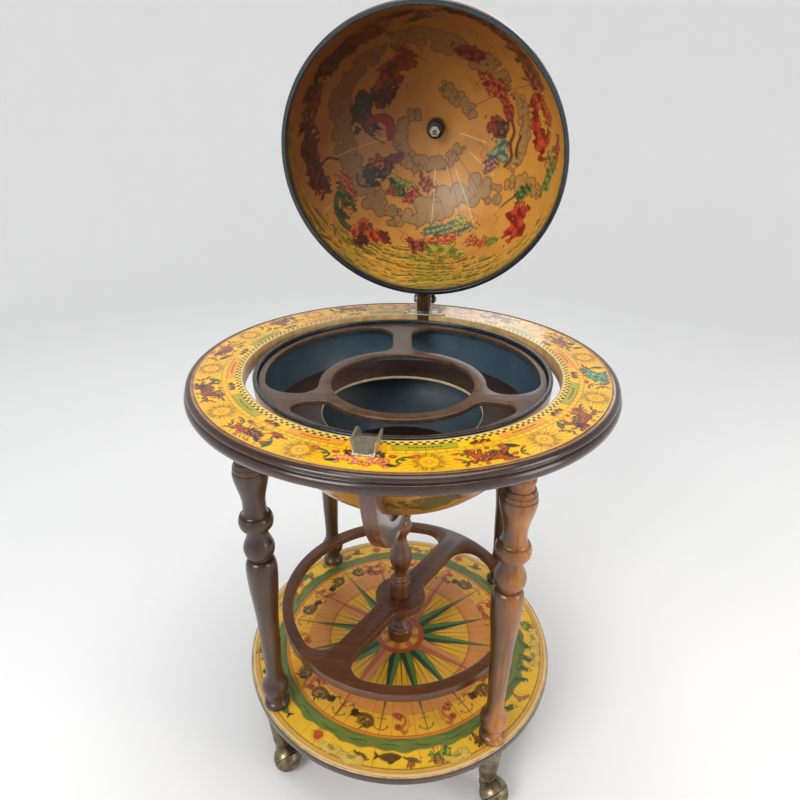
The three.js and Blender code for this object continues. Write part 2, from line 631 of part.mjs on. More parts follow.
// ---------- latch clip ----------
const CLIP_EAR = 16.6;          // height of the ears above the ring
const CLIP_LEAN = 2.3;          // outward lean of the ears at their top
const CLIP_T = 1.9;             // thickness of the base plate
const CLIP_OUT = 11.9;          // half width of the clip
const CLIP_EAR_IN = 9.9;
const CLIP_BACK = -208;
const CLIP_CORNER = 11;         // radius of the ears' upper back corner

function latchClip() {
  const outline = [[-244.4, RING_TOP], [CLIP_BACK, RING_TOP]];
  for (let i = 0; i <= 7; i++) {
    const angle = (i / 7) * 90 * DEG;
    outline.push([
      CLIP_BACK - CLIP_CORNER + CLIP_CORNER * Math.cos(angle),
      RING_TOP + CLIP_EAR - CLIP_CORNER + CLIP_CORNER * Math.sin(angle),
    ]);
  }
  outline.push([-247, RING_TOP + CLIP_EAR], [-246.4, RING_TOP + 13], [-244.4, RING_TOP + 9.5]);
  // the ears lean outwards from the base plate
  const ear = (x0, x1, lean) => {
    const slope = lean / (CLIP_EAR - CLIP_T);
    const shift = -slope * (RING_TOP + CLIP_T);
    return plateX(outline, x0, x1).applyMatrix4(
      new THREE.Matrix4().set(1, 0, slope, shift, 0, 1, 0, 0, 0, 0, 1, 0, 0, 0, 0, 1));
  };
  const body = join(
    block(-CLIP_OUT, CLIP_OUT, -247.4, CLIP_BACK, RING_TOP, RING_TOP + CLIP_T),
    ear(-CLIP_OUT, -CLIP_EAR_IN, -CLIP_LEAN),
    ear(CLIP_EAR_IN, CLIP_OUT, CLIP_LEAN),
  );
  return cut(body, ...clipNailHoles);
}

const CLIP_NAIL_PROFILE = [     // radius, z
  [0, 510], [1.1, 512], [1.1, RING_TOP + 2], [2.5, RING_TOP + 2.1], [1.9, RING_TOP + 2.8],
  [0, RING_TOP + 3.1],
];
add('latch_clip', latchClip(), FINISH.clip);
addPair('clip_nail', CLIP_NAIL_PROFILE, 10, CLIP_NAILS, FINISH.clip);

// ---------- casters, drawn with the heading along +X ----------
const CASTER_SEG = 14;
const CASTER_HEADING = -45;     // degrees about Z
const BALL_R = 22;
const BALL_OFFSET = 16;         // ball centre ahead of the stem
const AXLE_TILT = 35;           // degrees above the floor
const NECK_Z = FLOOR_Z + 45;
const BALL_Z = FLOOR_Z + BALL_R;
const FERRULE_PROFILE = [       // radius, z
  [0, SHELF_UNDER], [19.5, SHELF_UNDER], [20, 1], [18.4, -4], [18, -8], [15.6, -40],
  [13.2, -66], [12.2, NECK_Z], [4.5, NECK_Z], [4.5, NECK_Z + 30], [0, NECK_Z + 30],
];
const STEM_PROFILE = [          // radius, z
  [0, BALL_Z + 3], [11.8, BALL_Z + 3], [11.8, NECK_Z - 4], [12.4, NECK_Z - 2],
  [12, NECK_Z - 0.4], [4, NECK_Z - 0.4], [4, NECK_Z + 28], [0, NECK_Z + 29],
];
// from the wheel half to the hood half
const axleWay = new THREE.Vector3(-Math.cos(AXLE_TILT * DEG), 0, Math.sin(AXLE_TILT * DEG));
const axleTurn = new THREE.Quaternion().setFromUnitVectors(new THREE.Vector3(0, 0, 1), axleWay);
const onAxle = (geometry) =>
  asSolid(geometry.applyQuaternion(axleTurn).translate(BALL_OFFSET, 0, BALL_Z));

function ball(radius) {
  const steps = 8;
  const between = Array.from({ length: steps - 1 }, (_, i) => {
    const angle = (-90 + (180 * (i + 1)) / steps) * DEG;
    return [radius * Math.cos(angle), radius * Math.sin(angle)];
  });
  return onAxle(lathe([[0, -radius], ...between, [0, radius]], 16));
}

// The space on the hood's side of the wheel's flat face, starting `gap` from the ball centre.
const hoodSide = (gap) => onAxle(block(-60, 60, -60, 60, gap, 120 + gap));

// A rod along the axle between two distances from the ball centre.
function axleRod(start, end, radius) {
  const place = (distance) =>
    [BALL_OFFSET + distance * axleWay.x, 0, BALL_Z + distance * axleWay.z];
  return rod(place(start), place(end), radius, 8);
}

function casterHood() {
  const cover = ball(BALL_R - 0.2).intersect(hoodSide(0.4));
  const stem = asSolid(lathe(STEM_PROFILE, CASTER_SEG)).intersect(hoodSide(0.4));
  return cut(join(cover, stem), axleRod(-2, 12.6, 3.3));
}

const casterWheel = () => cut(ball(BALL_R), hoodSide(-0.4), axleRod(-14.5, 6, 3.6));

const CASTER_PARTS = [
  ['ferrule', lathe(FERRULE_PROFILE, CASTER_SEG), 0, FINISH.bronze],
  ['hood', asGeometry(casterHood()), CASTER_HEADING, FINISH.bronze],
  ['wheel', asGeometry(casterWheel()), CASTER_HEADING, FINISH.bronze],
  ['axle', axleRod(-14, 12, 3), CASTER_HEADING, FINISH.steel],
];
for (const [corner, angle] of CORNERS) {
  for (const [part, geometry, heading, finish] of CASTER_PARTS) {
    const placed = geometry.clone().rotateZ(heading * DEG).translate(...cornerPlace(angle));
    add(`caster_${part}_${corner}`, placed, finish);
  }
}

export default group;
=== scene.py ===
"""A floor-standing globe bar: a hinged dome over a bowl, held in a horizon ring on four legs.

The stand's axis is Z and the shelf's underside is near Z 0, with the casters below it. +X is right,
-Y is the front, and the lid is hinged at the back (+Y) and stands open. Outlines are in mm and
angles in degrees; meshes are made in metres.
"""

import itertools
import math

import bmesh
import bpy
import numpy as np
from mathutils import Matrix, Vector


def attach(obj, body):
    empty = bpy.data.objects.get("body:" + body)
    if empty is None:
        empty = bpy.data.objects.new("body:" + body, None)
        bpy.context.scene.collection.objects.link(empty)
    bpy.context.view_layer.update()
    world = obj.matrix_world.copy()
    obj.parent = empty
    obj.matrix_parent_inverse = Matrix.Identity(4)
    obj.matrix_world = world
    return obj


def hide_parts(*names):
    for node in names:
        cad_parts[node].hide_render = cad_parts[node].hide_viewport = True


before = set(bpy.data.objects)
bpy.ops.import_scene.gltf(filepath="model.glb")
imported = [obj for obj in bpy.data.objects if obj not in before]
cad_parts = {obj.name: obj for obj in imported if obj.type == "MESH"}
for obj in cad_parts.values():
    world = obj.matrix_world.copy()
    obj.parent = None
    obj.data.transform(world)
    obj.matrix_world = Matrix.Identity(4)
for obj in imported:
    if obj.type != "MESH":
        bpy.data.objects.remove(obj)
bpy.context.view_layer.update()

MM = 0.001
D = math.pi / 180
TAU = 2 * np.pi

# ------------------------------------------------------------------ driving dimensions, mm
RIM_Z = 517.0  # centre of the bowl's sphere
DOME_Z = 518.5  # centre of the dome's sphere, lid closed
SPHERE_R = 200  # outside of bowl and dome
DOME_R = 194.0  # the painted inside of the dome
SHELF_TOP = 16.0
FLOOR_Z = -116.0
HINGE = (0.0, 223.5, 546.0)
HINGE_Y, HINGE_Z = HINGE[1:]
LID_OPEN = 75.0
LEG_CIRCLE = 229.0
CORNERS = {"front_left": 225, "front_right": 315, "back_right": 45, "back_left": 135}
ORIGIN = (0, 0)

OPEN = (
    Matrix.Translation(Vector(HINGE) * MM)
    @ Matrix.Rotation(-LID_OPEN * D, 4, "X")
    @ Matrix.Translation(-Vector(HINGE) * MM)
)
# takes an outline drawn in (Y, Z) to its place, thickness along X
YZ = Matrix(((0, 0, 1, 0), (1, 0, 0, 0), (0, 1, 0, 0), (0, 0, 0, 1)))


def shift(x=0, y=0, z=0):
    return Matrix.Translation((x * MM, y * MM, z * MM))


def turn(degrees, axis):
    return Matrix.Rotation(degrees * D, 4, axis)


# ------------------------------------------------------------------ colour
def lin(colour):
    """'#rrggbb' in sRGB to a linear numpy colour."""
    srgb = np.array([int(colour[i : i + 2], 16) for i in (1, 3, 5)], float) / 255.0
    return np.where(srgb <= 0.04045, srgb / 12.92, ((srgb + 0.055) / 1.055) ** 2.4)


def rgba(colour):
    return (*map(float, lin(colour)), 1.0)


# ------------------------------------------------------------------ outlines
def spline(points, step):
    """A smooth profile through (r, z) points; a third item marks a sharp corner."""
    runs, run = [], [points[0]]
    for point in points[1:]:
        run.append(point)
        if len(point) > 2:
            runs.append(run)
            run = [point]
    if len(run) > 1:
        runs.append(run)
    out = []
    for run in runs:
        knots = np.array([[p[0], p[1]] for p in run], float)
        end = knots[-1]
        if len(knots) == 2:
            out.append(knots[0])
            continue
        knots = np.vstack([2 * knots[0] - knots[1], knots, 2 * knots[-1] - knots[-2]])
        for i in range(1, len(knots) - 2):
            p0, p1, p2, p3 = knots[i - 1 : i + 3]
            t0 = 0.0
            t1 = t0 + max(np.linalg.norm(p1 - p0), 1e-6) ** 0.5
            t2 = t1 + max(np.linalg.norm(p2 - p1), 1e-6) ** 0.5
            t3 = t2 + max(np.linalg.norm(p3 - p2), 1e-6) ** 0.5
            count = max(1, int(math.ceil(np.linalg.norm(p2 - p1) / step)))
            for k in range(count):
                t = t1 + (t2 - t1) * k / count
                a1 = (t1 - t) / (t1 - t0) * p0 + (t - t0) / (t1 - t0) * p1
                a2 = (t2 - t) / (t2 - t1) * p1 + (t - t1) / (t2 - t1) * p2
                a3 = (t3 - t) / (t3 - t2) * p2 + (t - t2) / (t3 - t2) * p3
                b1 = (t2 - t) / (t2 - t0) * a1 + (t - t0) / (t2 - t0) * a2
                b2 = (t3 - t) / (t3 - t1) * a2 + (t - t1) / (t3 - t1) * a3
                out.append((t2 - t) / (t2 - t1) * b1 + (t - t1) / (t2 - t1) * b2)
    out.append(end)
    return [(max(0.0, float(r)), float(z)) for r, z in out]


def round_rect(r0, r1, z0, z1, radius, steps=4):
    """A rectangular ring section with rounded corners, as a closed profile."""
    corners = (
        (r1 - radius, z0 + radius, -90),
        (r1 - radius, z1 - radius, 0),
        (r0 + radius, z1 - radius, 90),
        (r0 + radius, z0 + radius, 180),
    )
    out = []
    for r, z, start in corners:
        for i in range(steps + 1):
            angle = (start + 90 * i / steps) * D
            out.append((r + radius * math.cos(angle), z + radius * math.sin(angle)))
    return out


def polar(radius, angle, centre=ORIGIN):
    """The point at an angle in radians on a circle."""
    return (centre[0] + radius * math.cos(angle), centre[1] + radius * math.sin(angle))


def circle(x, y, radius, count):
    return [polar(radius, 2 * math.pi * i / count, (x, y)) for i in range(count)]


class Circle:
    """An edge of an opening that lies inside the circle, or outside it."""

    def __init__(self, centre, radius, outside=False):
        self.centre, self.radius, self.outside = centre, radius, outside

    def distance(self, p):
        gap = math.hypot(p[0] - self.centre[0], p[1] - self.centre[1]) - self.radius
        return gap if self.outside else -gap

    def foot(self, p):
        x, y = self.centre
        reach = math.hypot(p[0] - x, p[1] - y)
        return (
            x + (p[0] - x) * self.radius / reach,
            y + (p[1] - y) * self.radius / reach,
        )

    def run(self, start, end, step):
        """Points along the circle from start up to, but without, end."""
        a0, a1 = angle_of(start, self.centre), angle_of(end, self.centre)
        if self.outside:
            while a1 > a0:
                a1 -= 2 * math.pi
        else:
            while a1 < a0:
                a1 += 2 * math.pi
        count = max(1, math.ceil(abs(a1 - a0) / step))
        return [polar(self.radius, a0 + (a1 - a0) * i / count, self.centre) for i in range(count)]


class Line:
    """A straight edge of an opening through a point; the normal points into the opening."""

    def __init__(self, point, normal):
        self.point, self.normal = point, normal

    def distance(self, p):
        (x, y), (nx, ny) = self.point, self.normal
        return (p[0] - x) * nx + (p[1] - y) * ny

    def foot(self, p):
        gap = self.distance(p)
        return (p[0] - gap * self.normal[0], p[1] - gap * self.normal[1])

    def run(self, start, end, step):
        return [start]


def angle_of(point, centre):
    return math.atan2(point[1] - centre[1], point[0] - centre[0])


def fillet_centre(first, second, radius, guess):
    """The point at `radius` from both edges, by Newton's method."""
    p = list(guess)
    tiny = 1e-5
    for _ in range(60):
        here = [edge.distance(p) - radius for edge in (first, second)]
        by_x = [edge.distance((p[0] + tiny, p[1])) - radius for edge in (first, second)]
        by_y = [edge.distance((p[0], p[1] + tiny)) - radius for edge in (first, second)]
        rows = [[(by_x[i] - here[i]) / tiny, (by_y[i] - here[i]) / tiny] for i in (0, 1)]
        det = rows[0][0] * rows[1][1] - rows[0][1] * rows[1][0]
        p[0] -= (here[0] * rows[1][1] - here[1] * rows[0][1]) / det
        p[1] -= (rows[0][0] * here[1] - rows[1][0] * here[0]) / det
    return tuple(p)


def opening(edges, radii, guesses, step=2 * D):
    """An opening bounded in turn by lines and circles, with rounded corners."""
    fillets = []
    for i, edge in enumerate(edges):
        following = edges[(i + 1) % len(edges)]
        centre = fillet_centre(edge, following, radii[i], guesses[i])
        fillets.append((centre, radii[i], edge.foot(centre), following.foot(centre)))
    points = []
    for i, edge in enumerate(edges):
        centre, radius, start, end = fillets[i]
        points += edge.run(fillets[i - 1][3], start, step)
        a0, a1 = angle_of(start, centre), angle_of(end, centre)
        while a1 < a0:
            a1 += 2 * math.pi
        count = max(3, math.ceil((a1 - a0) / (5 * D)))
        points += [polar(radius, a0 + (a1 - a0) * k / count, centre) for k in range(count)]
    return points


# ------------------------------------------------------------------ meshes
def link_object(name, data):
    obj = bpy.data.objects.new(name, data)
    bpy.context.scene.collection.objects.link(obj)
    return obj


def evaluated_mesh(obj):
    graph = bpy.context.evaluated_depsgraph_get()
    return bpy.data.meshes.new_from_object(obj.evaluated_get(graph))


def mesh_of(verts_mm, faces, name="tmp"):
    mesh = bpy.data.meshes.new(name)
    mesh.from_pydata((np.asarray(verts_mm, float) * MM).tolist(), [], faces)
    return mesh


def weld(mesh, distance, outward=True):
    """Merge near vertices, and turn the faces outward if asked."""
    work = bmesh.new()
    work.from_mesh(mesh)
    bmesh.ops.remove_doubles(work, verts=work.verts, dist=distance)
    if outward:
        bmesh.ops.recalc_face_normals(work, faces=work.faces)
    work.to_mesh(mesh)
    work.free()


def dress(name, mesh, body, material, angle=38.0, matrix=None, replaces=None, merge=0.0):
    """Make a mesh into a finished object; it replaces the CAD piece of its own name by default."""
    if merge:
        weld(mesh, merge)
    if matrix is not None:
        mesh.transform(matrix)
    mesh.polygons.foreach_set("use_smooth", np.ones(len(mesh.polygons), bool))
    mesh.set_sharp_from_angle(angle=angle * D)
    mesh.materials.clear()
    mesh.materials.append(material)
    mesh.update()
    obj = link_object(name, mesh)
    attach(obj, body)
    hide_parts(replaces or name)


def revolve(profile, segments):
    """Vertices and faces of a profile turned about Z.

    The profile ends on the axis at both ends, or is closed on itself.
    """
    on_axis = profile[0][0] < 1e-6 and profile[-1][0] < 1e-6
    angles = 2 * np.pi * np.arange(segments) / segments
    cos, sin = np.cos(angles), np.sin(angles)
    verts, rows = [], []
    for r, z in profile:
        if r < 1e-6:
            rows.append([len(verts)])
            verts.append((0.0, 0.0, z))
        else:
            rows.append(list(range(len(verts), len(verts) + segments)))
            verts.extend(zip(r * cos, r * sin, [z] * segments))
    count = len(rows)
    area = sum(
        profile[i][0] * profile[(i + 1) % count][1] - profile[(i + 1) % count][0] * profile[i][1]
        for i in range(count)
    )
    faces = []
    for k in range(count - 1 if on_axis else count):
        low, high = rows[k], rows[(k + 1) % count]
        if len(low) == 1 and len(high) == 1:
            continue
        for i in range(segments):
            j = (i + 1) % segments
            if len(low) == 1:
                face = (low[0], high[j], high[i])
            elif len(high) == 1:
                face = (low[i], low[j], high[0])
            else:
                face = (low[i], low[j], high[j], high[i])
            faces.append(face if area > 0 else face[::-1])
    return verts, faces


def turned_mesh(profile, segments):
    return mesh_of(*revolve(profile, segments))


def turned(name, profile, body, material, segments, at=ORIGIN, matrix=None, replaces=None):
    verts, faces = revolve(profile, segments)
    verts = np.array(verts) + np.array([at[0], at[1], 0.0])
    mesh = mesh_of(verts, faces, name)
    dress(name, mesh, body, material, matrix=matrix, replaces=replaces)


def outline_mesh(loops, thick, bevel, steps=3):
    """A flat plate centred on Z 0 from closed outlines, with rounded edges."""
    curve = bpy.data.curves.new("tmp", "CURVE")
    curve.dimensions = "2D"
    curve.fill_mode = "BOTH"
    for loop in loops:
        path = curve.splines.new("POLY")
        path.points.add(len(loop) - 1)
        coords = np.zeros((len(loop), 4))
        coords[:, :2] = np.array(loop) * MM
        coords[:, 3] = 1
        path.points.foreach_set("co", coords.ravel())
        path.use_cyclic_u = True
    curve.extrude = (thick / 2 - bevel) * MM
    curve.bevel_depth = bevel * MM
    curve.bevel_resolution = steps
    curve.offset = -bevel * MM
    obj = link_object("tmp", curve)
    mesh = evaluated_mesh(obj)
    bpy.data.objects.remove(obj)
    return mesh


def plate(name, loops, z0, z1, bevel, body, material, matrix=None, replaces=None, steps=3):
    mesh = outline_mesh(loops, z1 - z0, bevel, steps)
    place = shift(z=(z0 + z1) / 2)
    if matrix is not None:
        place = matrix @ place
    dress(name, mesh, body, material, matrix=place, replaces=replaces, merge=2e-5)


def solid_plate(loop, low, high, bevel, matrix=None):
    """A welded plate from low to high, ready for a boolean."""
    mesh = outline_mesh([loop], high - low, bevel, 2)
    mesh.transform(shift(z=(low + high) / 2))
    if matrix is not None:
        mesh.transform(matrix)
    weld(mesh, 2e-5)
    return mesh


def rod(start, end, radius, segments=24):
    start, end = Vector(start), Vector(end)
    length = (end - start).length
    verts, faces = revolve([(0, 0), (radius, 0), (radius, length), (0, length)], segments)
    spin = Vector((0, 0, 1)).rotation_difference((end - start).normalized())
    return mesh_of([tuple(spin @ Vector(p) + start) for p in verts], faces)


def box(xs, ys, zs):
    faces = [(0, 1, 3, 2), (4, 6, 7, 5), (0, 4, 5, 1), (2, 3, 7, 6), (0, 2, 6, 4), (1, 5, 7, 3)]
    return mesh_of([(x, y, z) for x in xs for y in ys for z in zs], faces)


def combine(meshes, how="UNION"):
    """Boolean of a list of meshes; the first is the base."""
    objects = [link_object("tmpb", mesh) for mesh in meshes]
    for obj in objects[1:]:
        modifier = objects[0].modifiers.new("b", "BOOLEAN")
        modifier.operation = how
        modifier.object = obj
        modifier.solver = "EXACT"
    out = evaluated_mesh(objects[0])
    for obj in objects:
        bpy.data.objects.remove(obj)
    return out


def hex_nut(z0, z1, radius, bore):
    """A hexagonal nut with its corners rounded by a turned blank, and a plain bore."""
    hexagon = turned_mesh(
        [(0, z0), (radius - 1.0, z0), (radius, z0 + 0.6), (radius, z1 - 0.6), (radius - 1.0, z1),
         (0, z1)], 6)
    blank = turned_mesh(
        [(0, z0 - 1), (radius * 0.93, z0 - 0.2), (radius * 1.02, z0 + 0.9),
         (radius * 1.02, z1 - 0.9), (radius * 0.93, z1 + 0.2), (0, z1 + 1)], 48)
    body = combine([hexagon, blank], "INTERSECT")
    hole = turned_mesh([(0, z0 - 5), (bore, z0 - 5), (bore, z1 + 5), (0, z1 + 5)], 32)
    return combine([body, hole], "DIFFERENCE")


# ------------------------------------------------------------------ material nodes
class Nodes:
    """The node tree of one new material, with a method for each kind of node."""

    def __init__(self, name):
        self.material = bpy.data.materials.new(name)
        self.material.use_nodes = True
        self.tree = self.material.node_tree
        self.coords = self.new("ShaderNodeTexCoord")

    def new(self, kind, inputs=None, **settings):
        node = self.tree.nodes.new(kind)
        for key, value in settings.items():
            setattr(node, key, value)
        for key, value in (inputs or {}).items():
            self.feed(node.inputs[key], value)
        return node

    def feed(self, socket, value):
        """Set a socket to '#rrggbb', a number or a tuple, or link an output to it."""
        if isinstance(value, str):
            socket.default_value = rgba(value)
        elif isinstance(value, (int, float, tuple)):
            socket.default_value = value
        else:
            self.tree.links.new(value, socket)

    def mapped(self, scale=(1, 1, 1)):
        inputs = {"Scale": scale, "Vector": self.coords.outputs["Object"]}
        return self.new("ShaderNodeMapping", inputs).outputs["Vector"]

    def noise(self, vector, scale, detail=4.0, rough=0.55, warp=0.0):
        inputs = {"Scale": scale, "Detail": detail, "Roughness": rough, "Distortion": warp,
                  "Vector": vector}
        return self.new("ShaderNodeTexNoise", inputs).outputs["Fac"]

    def ramp(self, value, positions, colours):
        node = self.new("ShaderNodeValToRGB")
        stops = node.color_ramp.elements
        while len(stops) < len(colours):
            stops.new(0.5)
        for stop, position, colour in zip(stops, positions, colours):
            stop.position = position
            stop.color = rgba(colour)
        self.feed(node.inputs["Fac"], value)
        return node.outputs["Color"]

    def remap(self, value, low, high, from_low=0.3, from_high=0.7):
        inputs = {"From Min": from_low, "From Max": from_high, "To Min": low, "To Max": high,
                  "Value": value}
        return self.new("ShaderNodeMapRange", inputs).outputs["Result"]

    def mix(self, first, second, factor, mode="MIX"):
        # sockets 0, 6 and 7 are the factor and the two colours; output 2 is the colour
        inputs = {6: first, 7: second, 0: factor}
        node = self.new("ShaderNodeMix", inputs, data_type="RGBA", blend_type=mode)
        return node.outputs[2]

    def math(self, operation, first, second=0.0):
        return self.new("ShaderNodeMath", {0: first, 1: second}, operation=operation).outputs[0]

    def weigh(self, first, share, second, other_share):
        return self.math("ADD", self.math("MULTIPLY", first, share),
                         self.math("MULTIPLY", second, other_share))

    def bump(self, height, strength, distance):
        inputs = {"Strength": strength, "Distance": distance, "Height": height}
        return self.new("ShaderNodeBump", inputs).outputs["Normal"]

    def finish(self, colour, rough, normal, coat, coat_rough=0.1, metal=0.0):
        inputs = {"Base Color": colour, "Roughness": rough, "Metallic": metal,
                  "Coat Weight": coat, "Coat Roughness": coat_rough, "Normal": normal}
        for key, value in inputs.items():
            self.feed(self.tree.nodes["Principled BSDF"].inputs[key], value)
        return self.material


def wood(name, tones, along="Z", coat=0.55, rough=(0.28, 0.42), amber=None, lit_side=None,
         wear=None):
    """Stained wood: long grain streaks, pores, broad tone changes, lacquer.

    Tones run dark to light. Amber tones are painted light on the side that faces the light
    direction given, broken into patches where the stain is thin; wear is the colour of rubbed
    edges.
    """
    n = Nodes(name)
    stops = (0.30, 0.50, 0.72)
    grain = n.mapped({"Z": (1, 1, 0.07), "X": (0.07, 1, 1)}[along])
    streak = n.noise(grain, scale=150, detail=5, rough=0.62, warp=0.35)
    fine = n.noise(grain, scale=620, detail=3, rough=0.6)
    broad = n.noise(n.mapped((1, 1, 0.6) if along == "Z" else (1, 1, 1)), 13, 2, rough=0.5)
    tone = n.weigh(streak, 0.62, broad, 0.38)
    colour = n.ramp(tone, stops, tones)
    # painted light: amber tones on the side that faces the light, in patches of thin stain
    if amber is not None:
        geometry = n.new("ShaderNodeNewGeometry")
        facing_light = n.new("ShaderNodeVectorMath", {0: geometry.outputs["Normal"], 1: lit_side},
                       operation="DOT_PRODUCT")
        lit_and_thin = n.math("MULTIPLY", n.remap(facing_light.outputs["Value"], 0.0, 1.0, -0.2, 0.9),
                      n.remap(broad, 0.35, 1.0, 0.35, 0.65))
        colour = n.mix(colour, n.ramp(tone, stops, amber), lit_and_thin)
    pores = n.remap(fine, 1.0, 0.0, 0.60, 0.70)
    in_pores = n.mix(colour, (0.35, 0.33, 0.30, 1), 1.0, "MULTIPLY")
    colour = n.mix(colour, in_pores, n.math("SUBTRACT", 1.0, pores))
    if wear is not None:
        geometry = n.new("ShaderNodeNewGeometry")
        rubbed = n.math("MULTIPLY", n.remap(geometry.outputs["Pointiness"], 0.0, 1.0, 0.53, 0.60),
                        n.remap(n.noise(n.mapped(), 90, 3), 0.0, 1.0, 0.45, 0.6))
        colour = n.mix(colour, wear, n.math("MULTIPLY", rubbed, 0.6))
    roughness = n.remap(streak, *rough)
    height = n.math("ADD", n.math("MULTIPLY", fine, 0.5), streak)
    normal = n.bump(height, strength=0.10, distance=0.0006)
    return n.finish(colour, roughness, normal, coat, coat_rough=0.12)


def print_material(name, coat=0.6, coat_rough=0.10, rough=0.38, mottle=0.10):
    """A lacquered print: the drawn colours, paper mottling, fine bumps and a clear coat."""
    n = Nodes(name)
    drawn = n.new("ShaderNodeAttribute", attribute_name="Col").outputs["Color"]
    vector = n.mapped()
    blotch = n.noise(vector, scale=38, detail=5, rough=0.6)
    speck = n.noise(vector, scale=700, detail=2, rough=0.5)
    tone = n.remap(n.weigh(blotch, 0.75, speck, 0.25), 1.0 - mottle, 1.0 + mottle * 0.5,
                   0.32, 0.68)
    grey = n.new("ShaderNodeCombineColor", {"Red": tone, "Green": tone, "Blue": tone})
    colour = n.mix(drawn, grey.outputs["Color"], 1.0, "MULTIPLY")
    roughness = n.remap(blotch, rough - 0.05, rough + 0.08)
    normal = n.bump(n.noise(vector, scale=240, detail=3), strength=0.05, distance=0.0005)
    return n.finish(colour, roughness, normal, coat, coat_rough)


def satin(name, first, second, rough, coat, bump=0.05, scale=60, spots=None):
    """A smooth two-tone finish, with small spots of a third colour if asked."""
    n = Nodes(name)
    vector = n.mapped()
    blotch = n.noise(vector, scale, detail=5, rough=0.6)
    colour = n.ramp(blotch, (0.35, 0.65), (first, second))
    if spots is not None:
        spot = n.remap(n.noise(vector, scale=330, detail=2, rough=0.5), 0.0, 1.0, 0.70, 0.74)
        colour = n.mix(colour, spots, n.math("MULTIPLY", spot, 0.6))
    roughness = n.remap(blotch, rough - 0.06, rough + 0.1)
    normal = n.bump(n.noise(vector, scale=500, detail=2), strength=bump, distance=0.0004)
    return n.finish(colour, roughness, normal, coat, coat_rough=0.2)


def metal(name, bright, mid, dark, rough=0.34, patina=0.5, scale=70):
    """Old cast or pressed metal: bright where rubbed, dark oxide in blotches and hollows."""
    n = Nodes(name)
    vector = n.mapped()
    blotch = n.noise(vector, scale, detail=6, rough=0.65, warp=0.4)
    fine = n.noise(vector, scale * 7, detail=3, rough=0.6)
    tone = n.weigh(blotch, 0.7, fine, 0.3)
    colour = n.ramp(tone, (0.36, 0.50, 0.66), (dark, mid, bright))
    geometry = n.new("ShaderNodeNewGeometry")
    worn = n.remap(geometry.outputs["Pointiness"], 0.0, 1.0, 0.52, 0.60)
    colour = n.mix(colour, bright, n.math("MULTIPLY", worn, 0.5))
    metallic = n.remap(tone, 1.0 - patina * 0.6, 1.0, 0.34, 0.52)
    roughness = n.remap(tone, rough + 0.18, rough - 0.05, 0.36, 0.62)
    normal = n.bump(tone, strength=0.16, distance=0.0008)
    return n.finish(colour, roughness, normal, coat=0.0, metal=metallic)


def ring_wood(name, tones, coat, slope_radius, slope_colour, rough=(0.2, 0.34), chips=None):
    """Lacquered wood bent or turned round Z: the grain runs round the ring.

    Inside slope_radius the slope is rubbed down to slope_colour. Chips are (low Z, high Z,
    colour): below that height the stain is lost in places. Lengths are in metres.
    """
    n = Nodes(name)
    axes = n.new("ShaderNodeSeparateXYZ", {0: n.coords.outputs["Object"]}).outputs
    squares = [n.math("MULTIPLY", axes[i], axes[i]) for i in (0, 1)]
    radius = n.math("SQRT", n.math("ADD", *squares))
    stretch = n.math("ADD", 0.35, n.math("MULTIPLY", n.math("DIVIDE", radius, 0.27), 6.0))
    grain = n.new("ShaderNodeCombineXYZ")
    for i in (0, 1):
        unit = n.math("DIVIDE", axes[i], radius)
        n.feed(grain.inputs[i], n.math("MULTIPLY", unit, stretch))
    n.feed(grain.inputs[2], n.math("MULTIPLY", axes[2], 30.0))
    streak = n.noise(grain.outputs[0], scale=4.5, detail=6, rough=0.66, warp=0.3)
    vector = n.mapped()
    broad = n.noise(vector, scale=11, detail=3, rough=0.55)
    colour = n.ramp(n.weigh(streak, 0.5, broad, 0.5), (0.34, 0.50, 0.68), tones)
    if chips is not None:
        low = n.remap(axes[2], 1.0, 0.0, chips[0], chips[1])
        patches = n.noise(vector, scale=95, detail=4, rough=0.6)
        chipped = n.math("MULTIPLY", low, n.remap(patches, 0.0, 1.0, 0.52, 0.60))
        colour = n.mix(colour, chips[2], n.math("MULTIPLY", chipped, 0.8))
    inner = n.remap(radius, 1.0, 0.0, slope_radius, slope_radius + 0.0008)
    patches = n.noise(vector, scale=60, detail=3, rough=0.6)
    bare = n.math("MULTIPLY", inner, n.remap(patches, 0.55, 1.0, 0.36, 0.56))
    colour = n.mix(colour, slope_colour, bare)
    roughness = n.remap(broad, *rough)
    normal = n.bump(streak, strength=0.04, distance=0.0004)
    return n.finish(colour, roughness, normal, coat, coat_rough=0.08)


# ------------------------------------------------------------------ materials
# painted light: a lighter, more amber copy of the walnut for the lit front right leg
LIT_WALNUT = wood("walnut", ("#1d0e05", "#381e0b", "#503012"), coat=0.34,
              amber=("#6a3a08", "#a86416", "#cc8c2c"), lit_side=(0.75, -0.55, 0.25),
              wear=(0.26, 0.14, 0.05, 1))
# painted shade: a darker copy of the same walnut for the other three legs
SHADED_WALNUT = wood("shaded_walnut", ("#160a04", "#2b1608", "#412510"), coat=0.34,
                amber=("#2e180a", "#4a2a10", "#62401a"), lit_side=(0.75, -0.55, 0.25),
                wear=(0.20, 0.11, 0.05, 1))
POSTWOOD = wood("post_walnut", ("#25120a", "#472411", "#643a1c"), coat=0.5,
                amber=("#4d2a0e", "#703f16", "#8c5622"), lit_side=(0.6, -0.5, 0.4))
RINGWOOD = wood("bottle_ring_wood", ("#3b1f0e", "#583014", "#6c4019"), along="X", coat=0.35,
                rough=(0.34, 0.46))
ARCWOOD = wood("arc_wood", ("#2e170d", "#553019", "#7a4a28"), coat=0.6)
CREAM = satin("cream_edge", "#c9b285", "#e2d1a6", rough=0.45, coat=0.1, scale=120,
              spots=(0.25, 0.15, 0.07, 1))
SLATE = satin("slate_lacquer", "#2a3b46", "#3b515e", rough=0.30, coat=0.35, bump=0.03, scale=40)
RIM = satin("rim_lacquer", "#11181c", "#1d282e", rough=0.26, coat=0.4, bump=0.02, scale=50)
